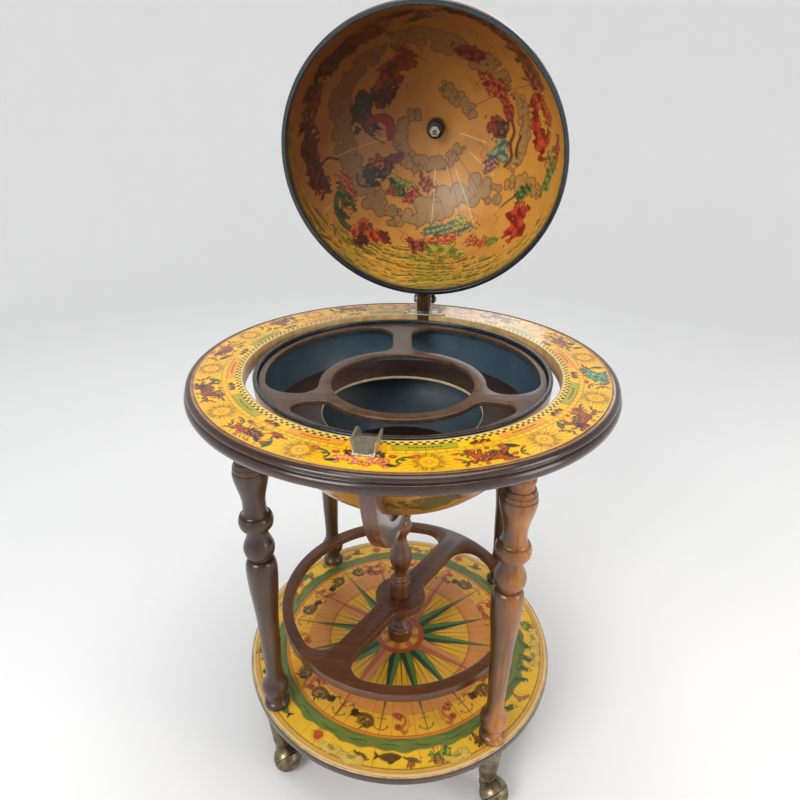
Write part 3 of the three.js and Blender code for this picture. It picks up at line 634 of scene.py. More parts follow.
DISC = satin("disc_flock", "#2b1913", "#402a22", rough=0.40, coat=0.15, bump=0.08, scale=90)
TRAY = satin("tray_brown", "#45301f", "#5b4432", rough=0.32, coat=0.3, bump=0.02)
BRONZE = metal("antique_bronze", "#a89c80", "#7c7057", "#453c2c", patina=0.45)
NICKEL = metal("aged_nickel", "#e8e6d4", "#cfccb6", "#a09c86", patina=0.06, scale=110)
STEEL = metal("dull_steel", "#b5b4ac", "#8e8d86", "#5c5a54", rough=0.30, patina=0.3, scale=120)
BLACK = satin("black_bush", "#0d0c0b", "#1d1a18", rough=0.38, coat=0.2, bump=0.06, scale=120)
PALE = satin("pale_nut", "#b3ab97", "#d3cdbc", rough=0.35, coat=0.2, bump=0.06, scale=200,
             spots=(0.15, 0.12, 0.08, 1))
PRINT_RING = print_material("ring_print")
PRINT_SHELF = print_material("shelf_print", coat=0.5, coat_rough=0.16)
PRINT_DOME = print_material("dome_inner_print", coat=0.32, coat_rough=0.30, rough=0.46,
                            mottle=0.12)
PRINT_MAP = print_material("map_print", coat=0.5, coat_rough=0.15, rough=0.4, mottle=0.14)
MOULDING = ring_wood("moulding_lacquer", ("#1e0e07", "#321a0e", "#462815"), coat=0.45,
                     rough=(0.2, 0.3), chips=(0.499, 0.503, "#d8c49a"), slope_radius=0.2752,
                     slope_colour="#b07a48")
EDGING = ring_wood("shelf_edging_lacquer", ("#24120a", "#3c2114", "#54321e"), coat=0.5,
                   slope_radius=0.2486, slope_colour="#d0ae70")
BOARDWOOD = wood("board_wood", ("#5e4322", "#86683c", "#a3834f"), along="X", coat=0.2,
                 rough=(0.4, 0.55))
EDGE_WOOD = satin("edging_strip", "#a8864e", "#c9a970", rough=0.42, coat=0.2,
                  spots=(0.25, 0.15, 0.07, 1))
SHELFWOOD = wood("shelf_wood", ("#3a2414", "#5e3e22", "#7a5630"), along="X", coat=0.2,
                 rough=(0.4, 0.55))
DARK_NUT = metal("dark_nut", "#6a6050", "#3a342a", "#1c1914", rough=0.4)


# ------------------------------------------------------------------ drawing tools
INK = "#23160c"
RED, DRED, BRED = "#b5402a", "#6e1f16", "#d4532c"
GREEN, DGREEN = "#2f5a34", "#1d3a26"


def space_noise(points, seed, frequency, octaves=4, gain=0.55):
    """Smooth noise of 3-D points, from random waves."""
    random = np.random.default_rng(seed)
    out = np.zeros(len(points))
    strength, total = 1.0, 0.0
    for octave in range(octaves):
        waves = random.normal(size=(10, 3))
        waves /= np.linalg.norm(waves, axis=1)[:, None]
        rate = frequency * 2**octave * (0.7 + 0.6 * random.random(10))
        phase = random.random(10) * 2 * np.pi
        out += strength * np.sin(points @ (waves * rate[:, None]).T + phase).sum(1) / 10**0.5
        total += strength
        strength *= gain
    return out / total


def plane_noise(x, y, seed, frequency):
    """Smooth noise of plane points, from seven random waves."""
    random = np.random.default_rng(seed)
    angle = random.random(7) * 2 * np.pi
    rate = frequency * (0.6 + 0.8 * random.random(7))
    phase = random.random(7) * 2 * np.pi
    waves = np.outer(x, rate * np.cos(angle)) + np.outer(y, rate * np.sin(angle)) + phase
    return np.sin(waves).sum(1) / (7 / 2) ** 0.5


def smooth_curve(points, closed=True, steps=5):
    """A Catmull-Rom curve through the points."""
    p = np.array(points, float)
    count = len(p)
    out = []
    for i in range(count if closed else count - 1):
        if closed:
            p0, p1, p2, p3 = p[i - 1], p[i], p[(i + 1) % count], p[(i + 2) % count]
        else:
            p0, p1, p2, p3 = p[max(i - 1, 0)], p[i], p[i + 1], p[min(i + 2, count - 1)]
        for k in range(steps):
            t = k / steps
            out.append(0.5 * (2 * p1 + (p2 - p0) * t + (2 * p0 - 5 * p1 + 4 * p2 - p3) * t**2
                              + (3 * p1 - p0 - 3 * p2 + p3) * t**3))
    if not closed:
        out.append(p[-1])
    return np.array(out)


def polygon_distance(x, y, polygon):
    """Signed distance to a closed polygon, negative inside."""
    square = np.full(len(x), 1e9)
    inside = np.zeros(len(x), bool)
    for i, (ax, ay) in enumerate(polygon):
        bx, by = polygon[(i + 1) % len(polygon)]
        ex, ey = bx - ax, by - ay
        wx, wy = x - ax, y - ay
        t = np.clip((wx * ex + wy * ey) / (ex * ex + ey * ey + 1e-12), 0, 1)
        square = np.minimum(square, (wx - ex * t) ** 2 + (wy - ey * t) ** 2)
        crossing = ax + (y - ay) * ex / (ey if ey != 0 else 1e-12)
        inside ^= ((ay > y) != (by > y)) & (x < crossing)
    distance = np.sqrt(square)
    return np.where(inside, -distance, distance)


def path_distance(x, y, path):
    """Distance to a polyline, and how far along it the nearest point is, 0 to 1."""
    distance = np.full(len(x), 1e9)
    along = np.zeros(len(x))
    count = len(path) - 1
    for i in range(count):
        ax, ay = path[i]
        ex, ey = path[i + 1][0] - ax, path[i + 1][1] - ay
        wx, wy = x - ax, y - ay
        t = np.clip((wx * ex + wy * ey) / (ex * ex + ey * ey + 1e-12), 0, 1)
        gap = np.hypot(wx - ex * t, wy - ey * t)
        nearer = gap < distance
        distance = np.where(nearer, gap, distance)
        along = np.where(nearer, (i + t) / count, along)
    return distance, along


def spoke_distance(angle, radius, count):
    """Distance to the nearest of `count` even spokes, the first at angle 0."""
    part = (angle / TAU * count) % 1
    return np.minimum(part, 1 - part) * 2 * np.pi * radius / count


def rotated(x, y, degrees):
    cos, sin = math.cos(degrees * D), math.sin(degrees * D)
    return x * cos + y * sin, -x * sin + y * cos


class Sheet:
    """Colours of the points of a turned surface.

    angle is in radians, reach is a distance in mm across the sheet, radius turns an angle into
    mm, soft is the width in mm of a drawn edge and points are the places in space.
    """

    def __init__(self, angle, reach, radius, soft, points):
        self.angle, self.reach, self.radius = angle, reach, radius
        self.soft, self.points = soft, points
        self.colours = np.zeros((len(angle), 3))

    def fill(self, colour):
        self.colours[:] = lin(colour)

    def blend(self, mask, colour, at=slice(None)):
        mask = np.clip(mask, 0, 1)[:, None]
        self.colours[at] = self.colours[at] * (1 - mask) + lin(colour) * mask

    def shade(self, factor):
        self.colours *= np.clip(factor, 0, 4)[:, None]

    def cover(self, depth):
        """How much a soft edge covers at a depth in mm inside it."""
        return np.clip(0.5 + depth / self.soft, 0, 1)

    def between(self, low, high):
        return self.cover(self.reach - low) * self.cover(high - self.reach)

    def band(self, low, high, colour, alpha=1.0):
        self.blend(self.between(low, high) * alpha, colour)

    def ring(self, reach, width, colour, alpha=1.0):
        self.blend(self.cover(width / 2 - abs(self.reach - reach)) * alpha, colour)

    def angle_from(self, degrees):
        return (self.angle - degrees * D + np.pi) % (2 * np.pi) - np.pi

    def at(self, degrees, reach, rot=0.0, scale=1.0, flip=False, size=30.0):
        """A Spot centred at an angle and reach, big enough for a figure of `size` mm."""
        off = self.angle_from(degrees)
        limit = size * scale * 1.5
        near = np.nonzero((abs(self.reach - reach) < limit)
                          & (abs(off) * np.maximum(self.radius, 1) < limit + 4))[0]
        return Spot(self, near, off[near] * self.radius[near], self.reach[near] - reach,
                    rot, scale, flip, scale)


class Spot:
    """A place on a sheet with its own x, y in mm: x along the angle, y towards larger reach."""

    def __init__(self, sheet, near, x, y, rot, scale, flip, zoom):
        x, y = rotated(x, y, rot)
        self.x = x / scale * (-1 if flip else 1)
        self.y = y / scale
        self.sheet, self.near, self.zoom = sheet, near, zoom

    def sub(self, x, y, rot=0.0, scale=1.0, flip=False):
        return Spot(self.sheet, self.near, self.x - x, self.y - y, rot, scale, flip,
                    self.zoom * scale)

    def blend(self, mask, colour):
        self.sheet.blend(mask, colour, self.near)

    def cover(self, depth):
        return np.clip(0.5 + depth * self.zoom / self.sheet.soft, 0, 1)

    def paint(self, distance, colour, alpha=1.0):
        self.blend(self.cover(-distance) * alpha, colour)

    def shape(self, distance, colour, line, width):
        """Fill inside a distance of 0, with an outline if asked."""
        if line is not None:
            self.paint(distance - width / 2, line)
            distance = distance + width / 2
        self.paint(distance, colour)

    def poly(self, points, colour, line=None, width=0.7, hatch=None, hatch_ink=None, smooth=True):
        """A filled outline; hatch is (spacing, strength, direction in radians)."""
        outline = smooth_curve(points) if smooth else np.array(points, float)
        distance = polygon_distance(self.x, self.y, outline)
        self.shape(distance, colour, line, width)
        if hatch is not None:
            spacing, strength, slant = hatch
            wave = 0.8 * np.sin(self.y * 0.7 + self.x * 0.3)
            part = (self.x * math.cos(slant) + self.y * math.sin(slant) + wave) / spacing
            strokes = np.clip((np.abs((part % 1) - 0.5) - 0.32) * 8, 0, 1)
            self.blend(self.cover(-(distance + 0.8)) * strokes * strength, hatch_ink or line)

    def line(self, points, width, colour, alpha=1.0, taper=0.0):
        path = smooth_curve(points, False) if len(points) > 2 else np.array(points, float)
        distance, along = path_distance(self.x, self.y, path)
        half = width / 2 * (1 - taper * along)
        self.blend(self.cover(half - distance) * alpha, colour)

    def disc(self, x, y, radius, colour, line=None, width=0.6):
        self.shape(np.hypot(self.x - x, self.y - y) - radius, colour, line, width)

    def heap(self, length, width, colour, dark, seed, x=0.0, y=0.0, rot=0.0, bend=0.25, rag=0.2,
             fold=3.4, slant=0.7, ink=INK, light=None, edge=0.9, alpha=1.0):
        """A crumpled heap of cloth or foliage: ragged outline, light and dark folds, strokes."""
        x, y = rotated(self.x - x, self.y - y, rot)
        bent = y - bend * width * np.sin(x / length * 2.2 + seed)
        size = min(length, width)

        def noise(offset, wavelength):
            return plane_noise(x, y, seed + offset, 2 * np.pi / (size * wavelength))

        ragged = noise(0, 1.5) * 0.7 + noise(50, 0.6) * 0.45
        ellipse = np.sqrt((x / length) ** 2 + (bent / width) ** 2)
        slope = np.sqrt((x / length**2) ** 2 + (bent / width**2) ** 2)
        slope = slope / np.maximum(ellipse, 1e-3)
        least = 1 / (max(length, width) * 1.5)
        distance = (ellipse - 1 - rag * ragged) / np.maximum(slope, least)
        self.paint(distance - edge * 0.5, ink, alpha)
        self.paint(distance + edge * 0.5, colour, alpha)
        inside = self.cover(-(distance + edge)) * alpha
        tone = noise(9, 0.9)
        self.blend(inside * np.clip((tone - 0.15) * 2.2, 0, 1) * 0.75, dark)
        if light is not None:
            self.blend(inside * np.clip((-tone - 0.35) * 2.2, 0, 1) * 0.75, light)
        across = x * math.cos(slant) + y * math.sin(slant)
        part = (across + 0.7 * fold * noise(3, 1.4)) / fold
        strokes = np.clip((np.abs(part % 1 - 0.5) - 0.34) * 7, 0, 1)
        self.blend(inside * strokes * 0.75, ink)


# ------------------------------------------------------------------ figures, 25 to 30 mm long
# Outline points are (x, y) in mm in the spot's own frame.
def star4(spot, x, y, radius, colour):
    points = []
    for i in range(8):
        reach = radius if i % 2 == 0 else radius * 0.35
        points.append(polar(reach, i * math.pi / 4, (x, y)))
    spot.poly(points, colour, smooth=False)


BEAST_BODY = [
    (-11.5, 2), (-9.2, 5.6), (-3, 5.2), (3, 5.8), (6, 8.2), (8, 11.2), (11.4, 11.4), (14.2, 9),
    (13, 7.2), (10, 6.6), (8.8, 3.5), (9.8, 0.2), (13.6, -3.4), (12.6, -5.2), (8, -2.2), (6, 0),
    (1, -0.4), (-4, -0.8), (-5.8, -4), (-4.2, -8), (-6.4, -8.4), (-8.8, -3.6), (-11.6, -5.4),
    (-14.2, -9), (-15.8, -8.2), (-13.6, -3.4), (-12.8, 0),
]


def beast(spot, coat, kind):
    """A running four-legged animal."""
    fore_leg = [(5.5, 1.2), (8.8, -2.8), (7.6, -7.6), (9.4, -8.2), (11, -3), (8.8, 1.8)]
    hind_leg = [(-8, 1.5), (-10.5, -3), (-8.6, -7.8), (-10.4, -8.4), (-12.6, -3.2), (-11.5, 2)]
    spot.poly(fore_leg, coat, INK)
    spot.poly(hind_leg, coat, INK)
    spot.poly(BEAST_BODY, coat, INK, 0.9, hatch=(3.2, 0.45, 0.6))
    spot.line([(-11.5, 3.5), (-15, 6.2), (-17.2, 3.2), (-19.4, 5.8)], 1.3, INK)
    if kind == "lion":
        mane = [(3.5, 4.2), (2.6, 8.2), (4.6, 10.6), (6, 13.4), (8.6, 12.6), (9.6, 9.8),
                (8.6, 7.2), (7.4, 3.6), (5.2, 2.2)]
        spot.poly(mane, DRED, INK, 0.6, hatch=(1.8, 0.6, 0.6))
    if kind == "bull":
        spot.line([(9.6, 11.2), (9, 14.4), (11.6, 16)], 1.3, INK)
        spot.line([(11.8, 11), (13, 13.6), (15.6, 14)], 1.2, INK)
    if kind == "ram":
        horn = [(9.4, 11.6), (6.2, 12.8), (5.8, 9.6), (8.2, 9.4), (8.4, 11)]
        spot.line(horn, 1.4, "#7a5a2a")
    if kind == "goat":
        spot.line([(9.4, 11.4), (6.6, 15.2), (3.4, 16)], 1.2, INK)
        spot.line([(12.4, 7), (12.8, 4.2)], 1.0, INK)
    spot.disc(11.2, 9.8, 0.5, INK)


def fish(spot, colour, fin):
    body = [(-12.5, 0), (-7, 3.6), (0, 5.2), (7, 4.2), (12.4, 1), (13.8, -0.8), (11.4, -2.6),
            (4, -4.6), (-4, -4), (-9, -1.8)]
    spot.poly([(-12, 0), (-17, 4.6), (-15.5, 0.2), (-17.4, -4.4)], fin, INK, 0.6)
    spot.poly([(-2, 4), (2, 8), (6, 4.6)], fin, INK, 0.5)
    spot.poly(body, colour, INK, 0.8, hatch=(2.6, 0.45, 1.2))
    spot.line([(7.2, 3.6), (6.2, 0.4), (7.4, -3.2)], 0.7, INK)
    spot.disc(10.2, 0.6, 0.8, INK)


def crab(spot, colour):
    for k in (-1, 1):
        for i in range(3):
            leg = [(k * 5, -1 + i * 0.5), (k * (9 + i), -3.2 + i * 2.4),
                   (k * (11.5 + i * 0.6), -7.0 + i * 2.8)]
            spot.line(leg, 1.2, INK)
        claw = [(k * 7, 9), (k * 5.2, 12.8), (k * 7.4, 14.6), (k * 9, 12), (k * 10.6, 14),
                (k * 11, 10.4), (k * 9, 8.4)]
        spot.line([(k * 5, 3), (k * 9, 6), (k * 8, 10)], 2.0, colour)
        spot.poly(claw, colour, INK, 0.6)
    shell_outline = [(-7, 0), (-5, 4.4), (0, 5.6), (5, 4.4), (7, 0), (4.6, -4.4), (0, -5.6),
                     (-4.6, -4.4)]
    spot.poly(shell_outline, colour, INK, 0.8, hatch=(2.2, 0.4, 0.6))


def lobster(spot, colour):
    spot.line([(-12, 0), (-15, 3), (-19, 3.4)], 1.0, INK)
    spot.line([(-12, 0), (-15, -3), (-19, -3.4)], 1.0, INK)
    for k in (-1, 1):
        claw = [(14, k * 4.2), (18.5, k * 3.2), (20, k * 6.2), (16.4, k * 8.4), (13.8, k * 6.8)]
        spot.line([(6, k * 2), (11, k * 6), (15, k * 5.4)], 1.6, colour)
        spot.poly(claw, colour, INK, 0.6)
        for i in range(4):
            leg = [(4 - 3.2 * i, k * 2.4), (3 - 3.4 * i, k * 6.2), (5 - 3.6 * i, k * 8.2)]
            spot.line(leg, 0.9, INK)
    body = [(9, 0), (6, 3.2), (0, 3.6), (-7, 2.6), (-12, 2.2), (-15, 4.2), (-16.5, 0),
            (-15, -4.2), (-12, -2.2), (-7, -2.6), (0, -3.6), (6, -3.2)]
    spot.poly(body, colour, INK, 0.8, hatch=(2.6, 0.7, 0.1))


def bird(spot, colour, wing):
    wing_outline = [(-3, 1), (-6.5, 9.6), (-2.6, 8), (-1.2, 11.6), (1.6, 7.2), (3.4, 8.8),
                    (3.6, 2)]
    body = [(-9.5, -3.4), (-5, -0.6), (0, 1.6), (5, 2.6), (8.2, 4.6), (10.4, 4), (12.6, 2.8),
            (9.6, 1.4), (6, -1.8), (0, -3.8), (-5, -3.2), (-9.8, -5.2)]
    spot.poly(wing_outline, wing, INK, hatch=(1.8, 0.55, 0.0))
    spot.poly(body, colour, INK, 0.8, hatch=(2.4, 0.4, 0.6))
    spot.disc(9, 3.2, 0.5, "#e8d8a0")


def dolphin(spot, colour):
    body = [(-13, -6), (-17, -3.6), (-16.2, -7.6), (-18.6, -11), (-13.4, -9), (-10, -5),
            (-5, -1.4), (0, -0.4), (5, -1.6), (8, -3.6), (12.6, -6), (12.8, -4.2), (9.6, -0.8),
            (7.4, 2.6), (2, 5), (-0.4, 8.2), (-2.4, 4.4), (-7, 1.4), (-11, -3)]
    spot.poly(body, colour, INK, 0.8, hatch=(3.0, 0.35, 0.6))
    spot.disc(8, -0.8, 0.6, INK)


def seahorse(spot, colour, ink):
    body = [(3, 9), (0.5, 10.5), (-1.5, 7), (0.5, 3.5), (2.8, -0.5), (1.2, -5), (-2.4, -7.4),
            (-4.6, -4.6), (-2.4, -3.2)]
    spot.line(body, 3.2, ink, taper=0.62)
    spot.line(body, 2.0, colour, taper=0.62)
    for k in (-1, 1):
        spot.line([(1, 2), (1 + k * 5, 4.4), (1 + k * 7, 2)], 1.2, colour, taper=0.4)


def shell(spot, colour, ink):
    outline = [(0, -4.6), (4.8, -1), (5, 2.6), (2.6, 4.8), (0, 5.4), (-2.6, 4.8), (-5, 2.6),
               (-4.8, -1)]
    spot.poly(outline, colour, ink)
    for k in range(-2, 3):
        spot.line([(0, -4.2), (k * 1.9, 4.2 - abs(k) * 0.6)], 0.6, ink)


def anchor(spot, ink):
    spot.line([(0, 9), (0, -8)], 1.0, ink)
    spot.line([(-5, 5.4), (5, 5.4)], 1.0, ink)
    spot.line([(-8, -2.5), (-5.6, -6.6), (0, -8.6), (5.6, -6.6), (8, -2.5)], 1.0, ink)
    spot.line([(-8, -2.5), (-8.8, -5.2)], 0.8, ink)
    spot.line([(8, -2.5), (8.8, -5.2)], 0.8, ink)
    spot.paint(np.abs(np.hypot(spot.x, spot.y - 10.6) - 1.6) - 0.4, ink)


def scroll_beast(spot, ink, colour):
    """A curled sea beast: a fish body that ends in a scroll."""
    body = [(7, 6.4), (11, 4.4), (10.4, 0.6), (6.6, -1.6), (1, -1.2), (-4, 1.4), (-8.4, 1.2),
            (-10.6, -2.2), (-9, -5.6), (-5.8, -5.8), (-5.6, -3.4), (-7.8, -3.6), (-7.6, -1.4),
            (-4, -1.8), (1, -5), (7, -5.2), (12.4, -2.2), (14.4, 3.2), (12.6, 7.6), (8.6, 9.4)]
    crest = [(6.6, 9), (3.2, 12.4), (5.6, 6.8), (1, 8), (5.2, 4.8)]
    spot.poly(body, colour, ink, 0.8, hatch=(2.0, 0.6, 0.6))
    spot.poly(crest, colour, ink, 0.6)
    spot.line([(-8, -5), (-12, -8), (-15.4, -6)], 1.0, ink)
    spot.line([(-12, -8), (-13, -11)], 0.8, ink)


def vase(spot, colour):
    body = [(-3, -8), (3, -8), (2, -6), (5, -1), (4, 4), (2, 6), (3, 8.5), (-3, 8.5), (-2, 6),
            (-4, 4), (-5, -1), (-2, -6)]
    spot.poly(body, colour, INK, 0.8, hatch=(2.6, 0.4, 0.6))
    for k in (-1, 1):
        spot.line([(k * 3, 6), (k * 7.5, 5), (k * 4.6, 0)], 1.1, INK)
        spot.line([(k * 2, -9), (k * 6, -11), (k * 10, -9), (k * 14, -11)], 1.1, "#3c6a6a")


def scales(spot):
    brass = "#a8642c"
    spot.line([(0, 9), (0, -8)], 1.4, brass)
    spot.line([(-11, 6), (0, 8), (11, 6)], 1.2, INK)
    for k in (-1, 1):
        spot.line([(k * 11, 6), (k * 14, -2)], 0.6, INK)
        spot.line([(k * 11, 6), (k * 8, -2)], 0.6, INK)
        pan = [(k * 6.8, -2), (k * 15.2, -2), (k * 13, -4.8), (k * 9, -4.8)]
        spot.poly(pan, RED, INK, 0.6)
    spot.poly([(-4, -8), (4, -8), (5, -10), (-5, -10)], brass, INK, 0.5, smooth=False)


def bow(spot):
    spot.line([(-3, 11), (5, 8), (8, 0), (5, -8), (-3, -11)], 1.9, "#8a3a1e")
    spot.line([(-3, 11), (-3, -11)], 0.7, INK)
    spot.line([(-12, 0), (13, 0)], 1.0, INK)
    spot.poly([(12, 2), (17, 0), (12, -2)], DRED, INK, 0.5, smooth=False)
    spot.poly([(-12, 0), (-16, 3), (-13, 0), (-16, -3)], GREEN, INK, 0.5, smooth=False)


def sunburst(spot, radius, ink, count):
    reach = np.hypot(spot.x, spot.y)
    angle = np.arctan2(spot.y, spot.x)
    sector_number = np.floor(angle / TAU * count + 1000).astype(int)
    limit = np.where(sector_number % 2 == 0, radius, radius * 0.72)
    mask = spot.cover(0.32 - spoke_distance(angle, reach, count))
    mask = mask * (reach > radius * 0.30) * (reach < limit)
    spot.blend(np.clip(mask * 1.1, 0, 0.85), ink)
    spot.paint(np.abs(reach - radius * 0.26) - 0.35, ink, 0.9)


def open_cloud(spot, seed):
    """A bank of scalloped puffs with a pale wash."""
    ink, fill = "#5a3a16", "#e8c45a"
    puff = 8.0
    random = np.random.default_rng(seed)
    path = smooth_curve([(-16, -1), (-4, 2), (7, -1), (16, 1)], False, 8)
    length = np.r_[0, np.cumsum(np.linalg.norm(np.diff(path, axis=0), axis=1))]
    count = max(3, int(length[-1] / (puff * 0.55)))
    chord = path[-1] - path[0]
    across = np.array([-chord[1], chord[0]]) / (np.linalg.norm(chord) + 1e-6)
    puffs = []
    for k in range(count + 1):
        along = length[-1] * k / count
        centre = np.array([np.interp(along, length, path[:, j]) for j in (0, 1)])
        swell = 0.55 + 0.45 * math.sin(math.pi * (k + 0.6) / (count + 1.2)) ** 0.5
        for side in (-1, 1):
            middle = (centre + random.normal(size=2) * puff * 0.12
                      + side * across * puff * 0.35 * swell)
            puffs.append((middle, puff * (0.48 + 0.2 * random.random()) * swell))
    distance = np.full(len(spot.x), 1e9)
    for (x, y), radius in puffs:
        distance = np.minimum(distance, np.hypot(spot.x - x, spot.y - y) - radius)
    spot.paint(distance - 0.28, ink, 0.8)
    spot.paint(distance + 0.42, fill, 0.85)
    for (x, y), radius in puffs[::2]:
        # an arc inside every other puff
        gap = np.abs(np.hypot(spot.x - x, spot.y - y) - radius * 0.86) - 0.21
        part = np.sin(np.arctan2(spot.y - y, spot.x - x) + random.random() * 6) > 0.35
        spot.blend(spot.cover(-gap) * part * (distance < 0) * 0.5, ink)


def leaf(spot, x, y, rot, scale, colour):
    spot = spot.sub(x, y, rot, scale)
    outline = [(-6, 0), (-3, 2.6), (1, 3.2), (4.5, 1.8), (7.5, 0), (4.5, -1.4), (0, -2.2),
               (-4, -1.6)]
    spot.poly(outline, colour, INK)
    spot.line([(-6, 0), (-9, -1.6), (-11, -0.6)], 0.9, INK)


def bud(spot, x, y, rot, scale, colour=BRED):
    spot = spot.sub(x, y, rot, scale)
    outline = [(-3, 0), (-1.5, 2.4), (1.5, 2.6), (3.6, 0.6), (2.6, -1.8), (-0.8, -1.9)]
    spot.poly(outline, colour, "#4a160c", 0.6)
    spot.disc(0.6, 0.8, 0.8, "#f08a4a")


def corner_sprig(spot, x, y, rot, flip, scale, colour=GREEN):
    """A curled stem with a dark leaf and a red bud at each end."""
    spot = spot.sub(x, y, rot, scale, flip)
    stem = [(-9, -3.5), (-5.5, -3.8), (-1.5, -2.2), (1.8, 0.8), (1.6, 4.4), (-1.4, 6)]
    spot.line(stem, 3.2, INK, taper=0.3)
    spot.line(stem, 2.0, colour, taper=0.3)
    spot.poly([(-6, 0.5), (-3.4, 2.2), (-0.6, 1.4), (-3, -0.4)], DGREEN, INK, 0.5)
    bud(spot, -10.5, -4.6, 20, 0.8)
    bud(spot, 6.5, -4.8, -10, 1.05)
    spot.line([(3.4, -4.8), (6.5, -3.2), (10, -4.4)], 1.1, DRED)
    bud(spot, 0.5, 8.2, 60, 0.6)


# ------------------------------------------------------------------ the horizon ring's print
def chequers(sheet, low, high, count, first, second):
    odd = np.floor((sheet.angle / TAU) * count + 1e-6).astype(int) % 2
    mask = sheet.between(low, high)
    sheet.blend(mask * (odd == 0), first)
    sheet.blend(mask * (odd == 1), second)


def ring_borders(sheet):
    """Chequered inner border, and the ring of ticks outside it."""
    sheet.band(205, 213.4, "#f4e6a4")
    sheet.ring(213.7, 0.7, "#b87a20", 0.7)
    sheet.band(213.9, 220.4, "#ffd24a")
    chequers(sheet, 213.9, 217.1, 300, "#141a1c", "#ffd24a")
    chequers(sheet, 217.2, 220.4, 300, "#ffd24a", "#141a1c")
    sheet.ring(231.6, 0.7, "#8a5a10", 0.8)
    sheet.ring(237.6, 0.8, "#6a4410", 0.85)
    ticks = sheet.cover(0.9 / 2 - spoke_distance(sheet.angle, sheet.radius, 72))
    sheet.blend(ticks * ((sheet.reach > 231.6) & (sheet.reach < 237.6)) * 0.85, "#4a3008")
    random = np.random.default_rng(17)
    for k in range(72):
        spot = sheet.at(2.5 + 5 * k, 234.4, size=5)
        for j in range(3):
            stroke = [(-1.6 + 1.6 * j + random.normal() * 0.2, -1.2),
                      (-1.2 + 1.6 * j + random.normal() * 0.3, 1.2)]
            spot.line(stroke, 0.55, "#5a3a08", 0.75)


# ray count, half width, inner radius, outer radius, colour, strength
SUN_RAYS = (
    (30, 0.42, 14.0, 33.0, "#a06408", 0.75),
    (26, 0.75, 9.5, 14.5, "#3f2806", 0.9),
    (52, 0.35, 12.0, 18.5, "#6a4008", 0.7),
)


def ring_suns(sheet):
    """A rayed sun to each thirty degrees."""
    for k in range(12):
        spot = sheet.at(-75 + 30 * k, 254.0, size=26)
        reach = np.hypot(spot.x, spot.y)
        angle = np.arctan2(spot.y, spot.x)
        glow = np.clip((1.15 - np.hypot(spot.x / 13, spot.y / 10)) * 1.6, 0, 1)
        spot.blend(glow * 0.75, "#ffa800")
        across = sheet.reach[spot.near]
        inside = (across > 238.6) & (across < 269.4)
        for count, half, inner, outer, colour, strength in SUN_RAYS:
            gap = spoke_distance(angle, reach, count)
            uneven = 1 + 0.18 * np.sin(np.floor(angle / TAU * count + 0.5) * 2.4 + k)
            mask = spot.cover(half - gap) * (reach > inner) * (reach < outer * uneven)
            spot.blend(mask * inside * strength, colour)
        spot.paint(np.abs(np.hypot(spot.x / 1.5, spot.y) - 2.4) - 0.4, "#8a3a10", 0.9)
        spot.disc(0, 0, 1.3, "#ffd860")


def ring_plates(sheet):
    """Long dotted plates, green and orange in turn, with a knot of small heaps between them."""
    knot = ((-9, 1, "#7a1e10"), (-4.5, -1.4, INK), (0, 1.6, "#c23c18"), (4.5, -1.2, INK),
            (9, 1.2, "#7a1e10"))
    for k in range(12):
        if k % 2 == 0:
            fill, line, dots = "#b0a414", "#6a5a08", "#3a3a08"
        else:
            fill, line, dots = "#f09c2a", "#b85a14", "#7a3208"
        spot = sheet.at(-75 + 30 * k, 226.0, size=30)
        spot.poly([(-34, -5.2), (34, -5.2), (34, 5.2), (-34, 5.2)], fill, line, smooth=False)
        for j in range(-6, 7):
            spot.disc(j * 2.7 + 0.6 * math.sin(j * 2.1), 0.5 * math.cos(j * 1.7),
                      1.0 if j % 3 else 1.4, dots)
        spot = sheet.at(-90 + 30 * k, 226.0, size=16)
        for j, (x, y, colour) in enumerate(knot):
            spot.heap(2.9, 2.2, colour, INK, 7 * k + j, x, y, 30 * (j - 2), rag=0.25, fold=2.4,
                      edge=0.5)
        spot.line([(-12, -2), (-6, 3), (0, -3), (6, 3), (12, -2)], 1.0, INK)
        spot.line([(-11, 3), (-3, 4), (4, 3.2), (11, 4)], 0.8, "#7a1e10")


def ring_blossom(sheet, degrees):
    """A spray of orange blossom over dark centres, with a sprig each side."""
    spot = sheet.at(degrees, 252.0, size=40)
    # x, y, size, colour
    blossoms = ((-23, 3.5, 8.6, "#f08a3a"), (-11.5, -2.5, 9.0, "#f09444"),
                (11.5, -2.0, 9.2, "#ee8c38"), (23, 4.0, 8.6, "#ec7c30"),
                (-4, 6.5, 6.6, "#ec7a2c"), (6, 7.0, 6.6, "#f08c40"))
    for x, y, size, colour in blossoms:
        spot.heap(size, size * 0.72, colour, "#c2401a", int(x) + 40, x, y, x * 2, rag=0.14,
                  fold=3.0, edge=0.8, light="#ffc890", ink="#7a2410")
    for x, y, size in ((-14, -11.0, 7.6), (14, -10.6, 7.8), (0, -9.0, 5.4)):
        spot.heap(size, size * 0.72, "#3a160c", "#160a06", int(x) + 60, x, y, rag=0.16,
                  fold=2.6, light="#d86a24")
        spot.disc(x, y + 1.5, 1.8, "#f0a040", "#5a1c0c")
    for k in (-1, 1):
        corner_sprig(spot, k * 37, -3, 0, k > 0, 1.15)
        bud(spot, k * 52, -9, 0, 1.2)
        leaf(spot, k * 30, 8, 90 - k * 70, 0.9, DGREEN)


RING_FIGURES = [
    ("bull", "#c2531c"), ("lion", "#b5502c"), ("fishes", "#5a8a6a"), ("scales", "#a8522c"),
    ("ram", "#a8562c"), ("bow", RED), ("goat", "#9a4a20"), ("vase", "#a85a2c"), ("crab", BRED),
    ("lion", "#8a3a18"), ("lobster", "#c23c18"), ("blossom", "#f08a4a"),
]


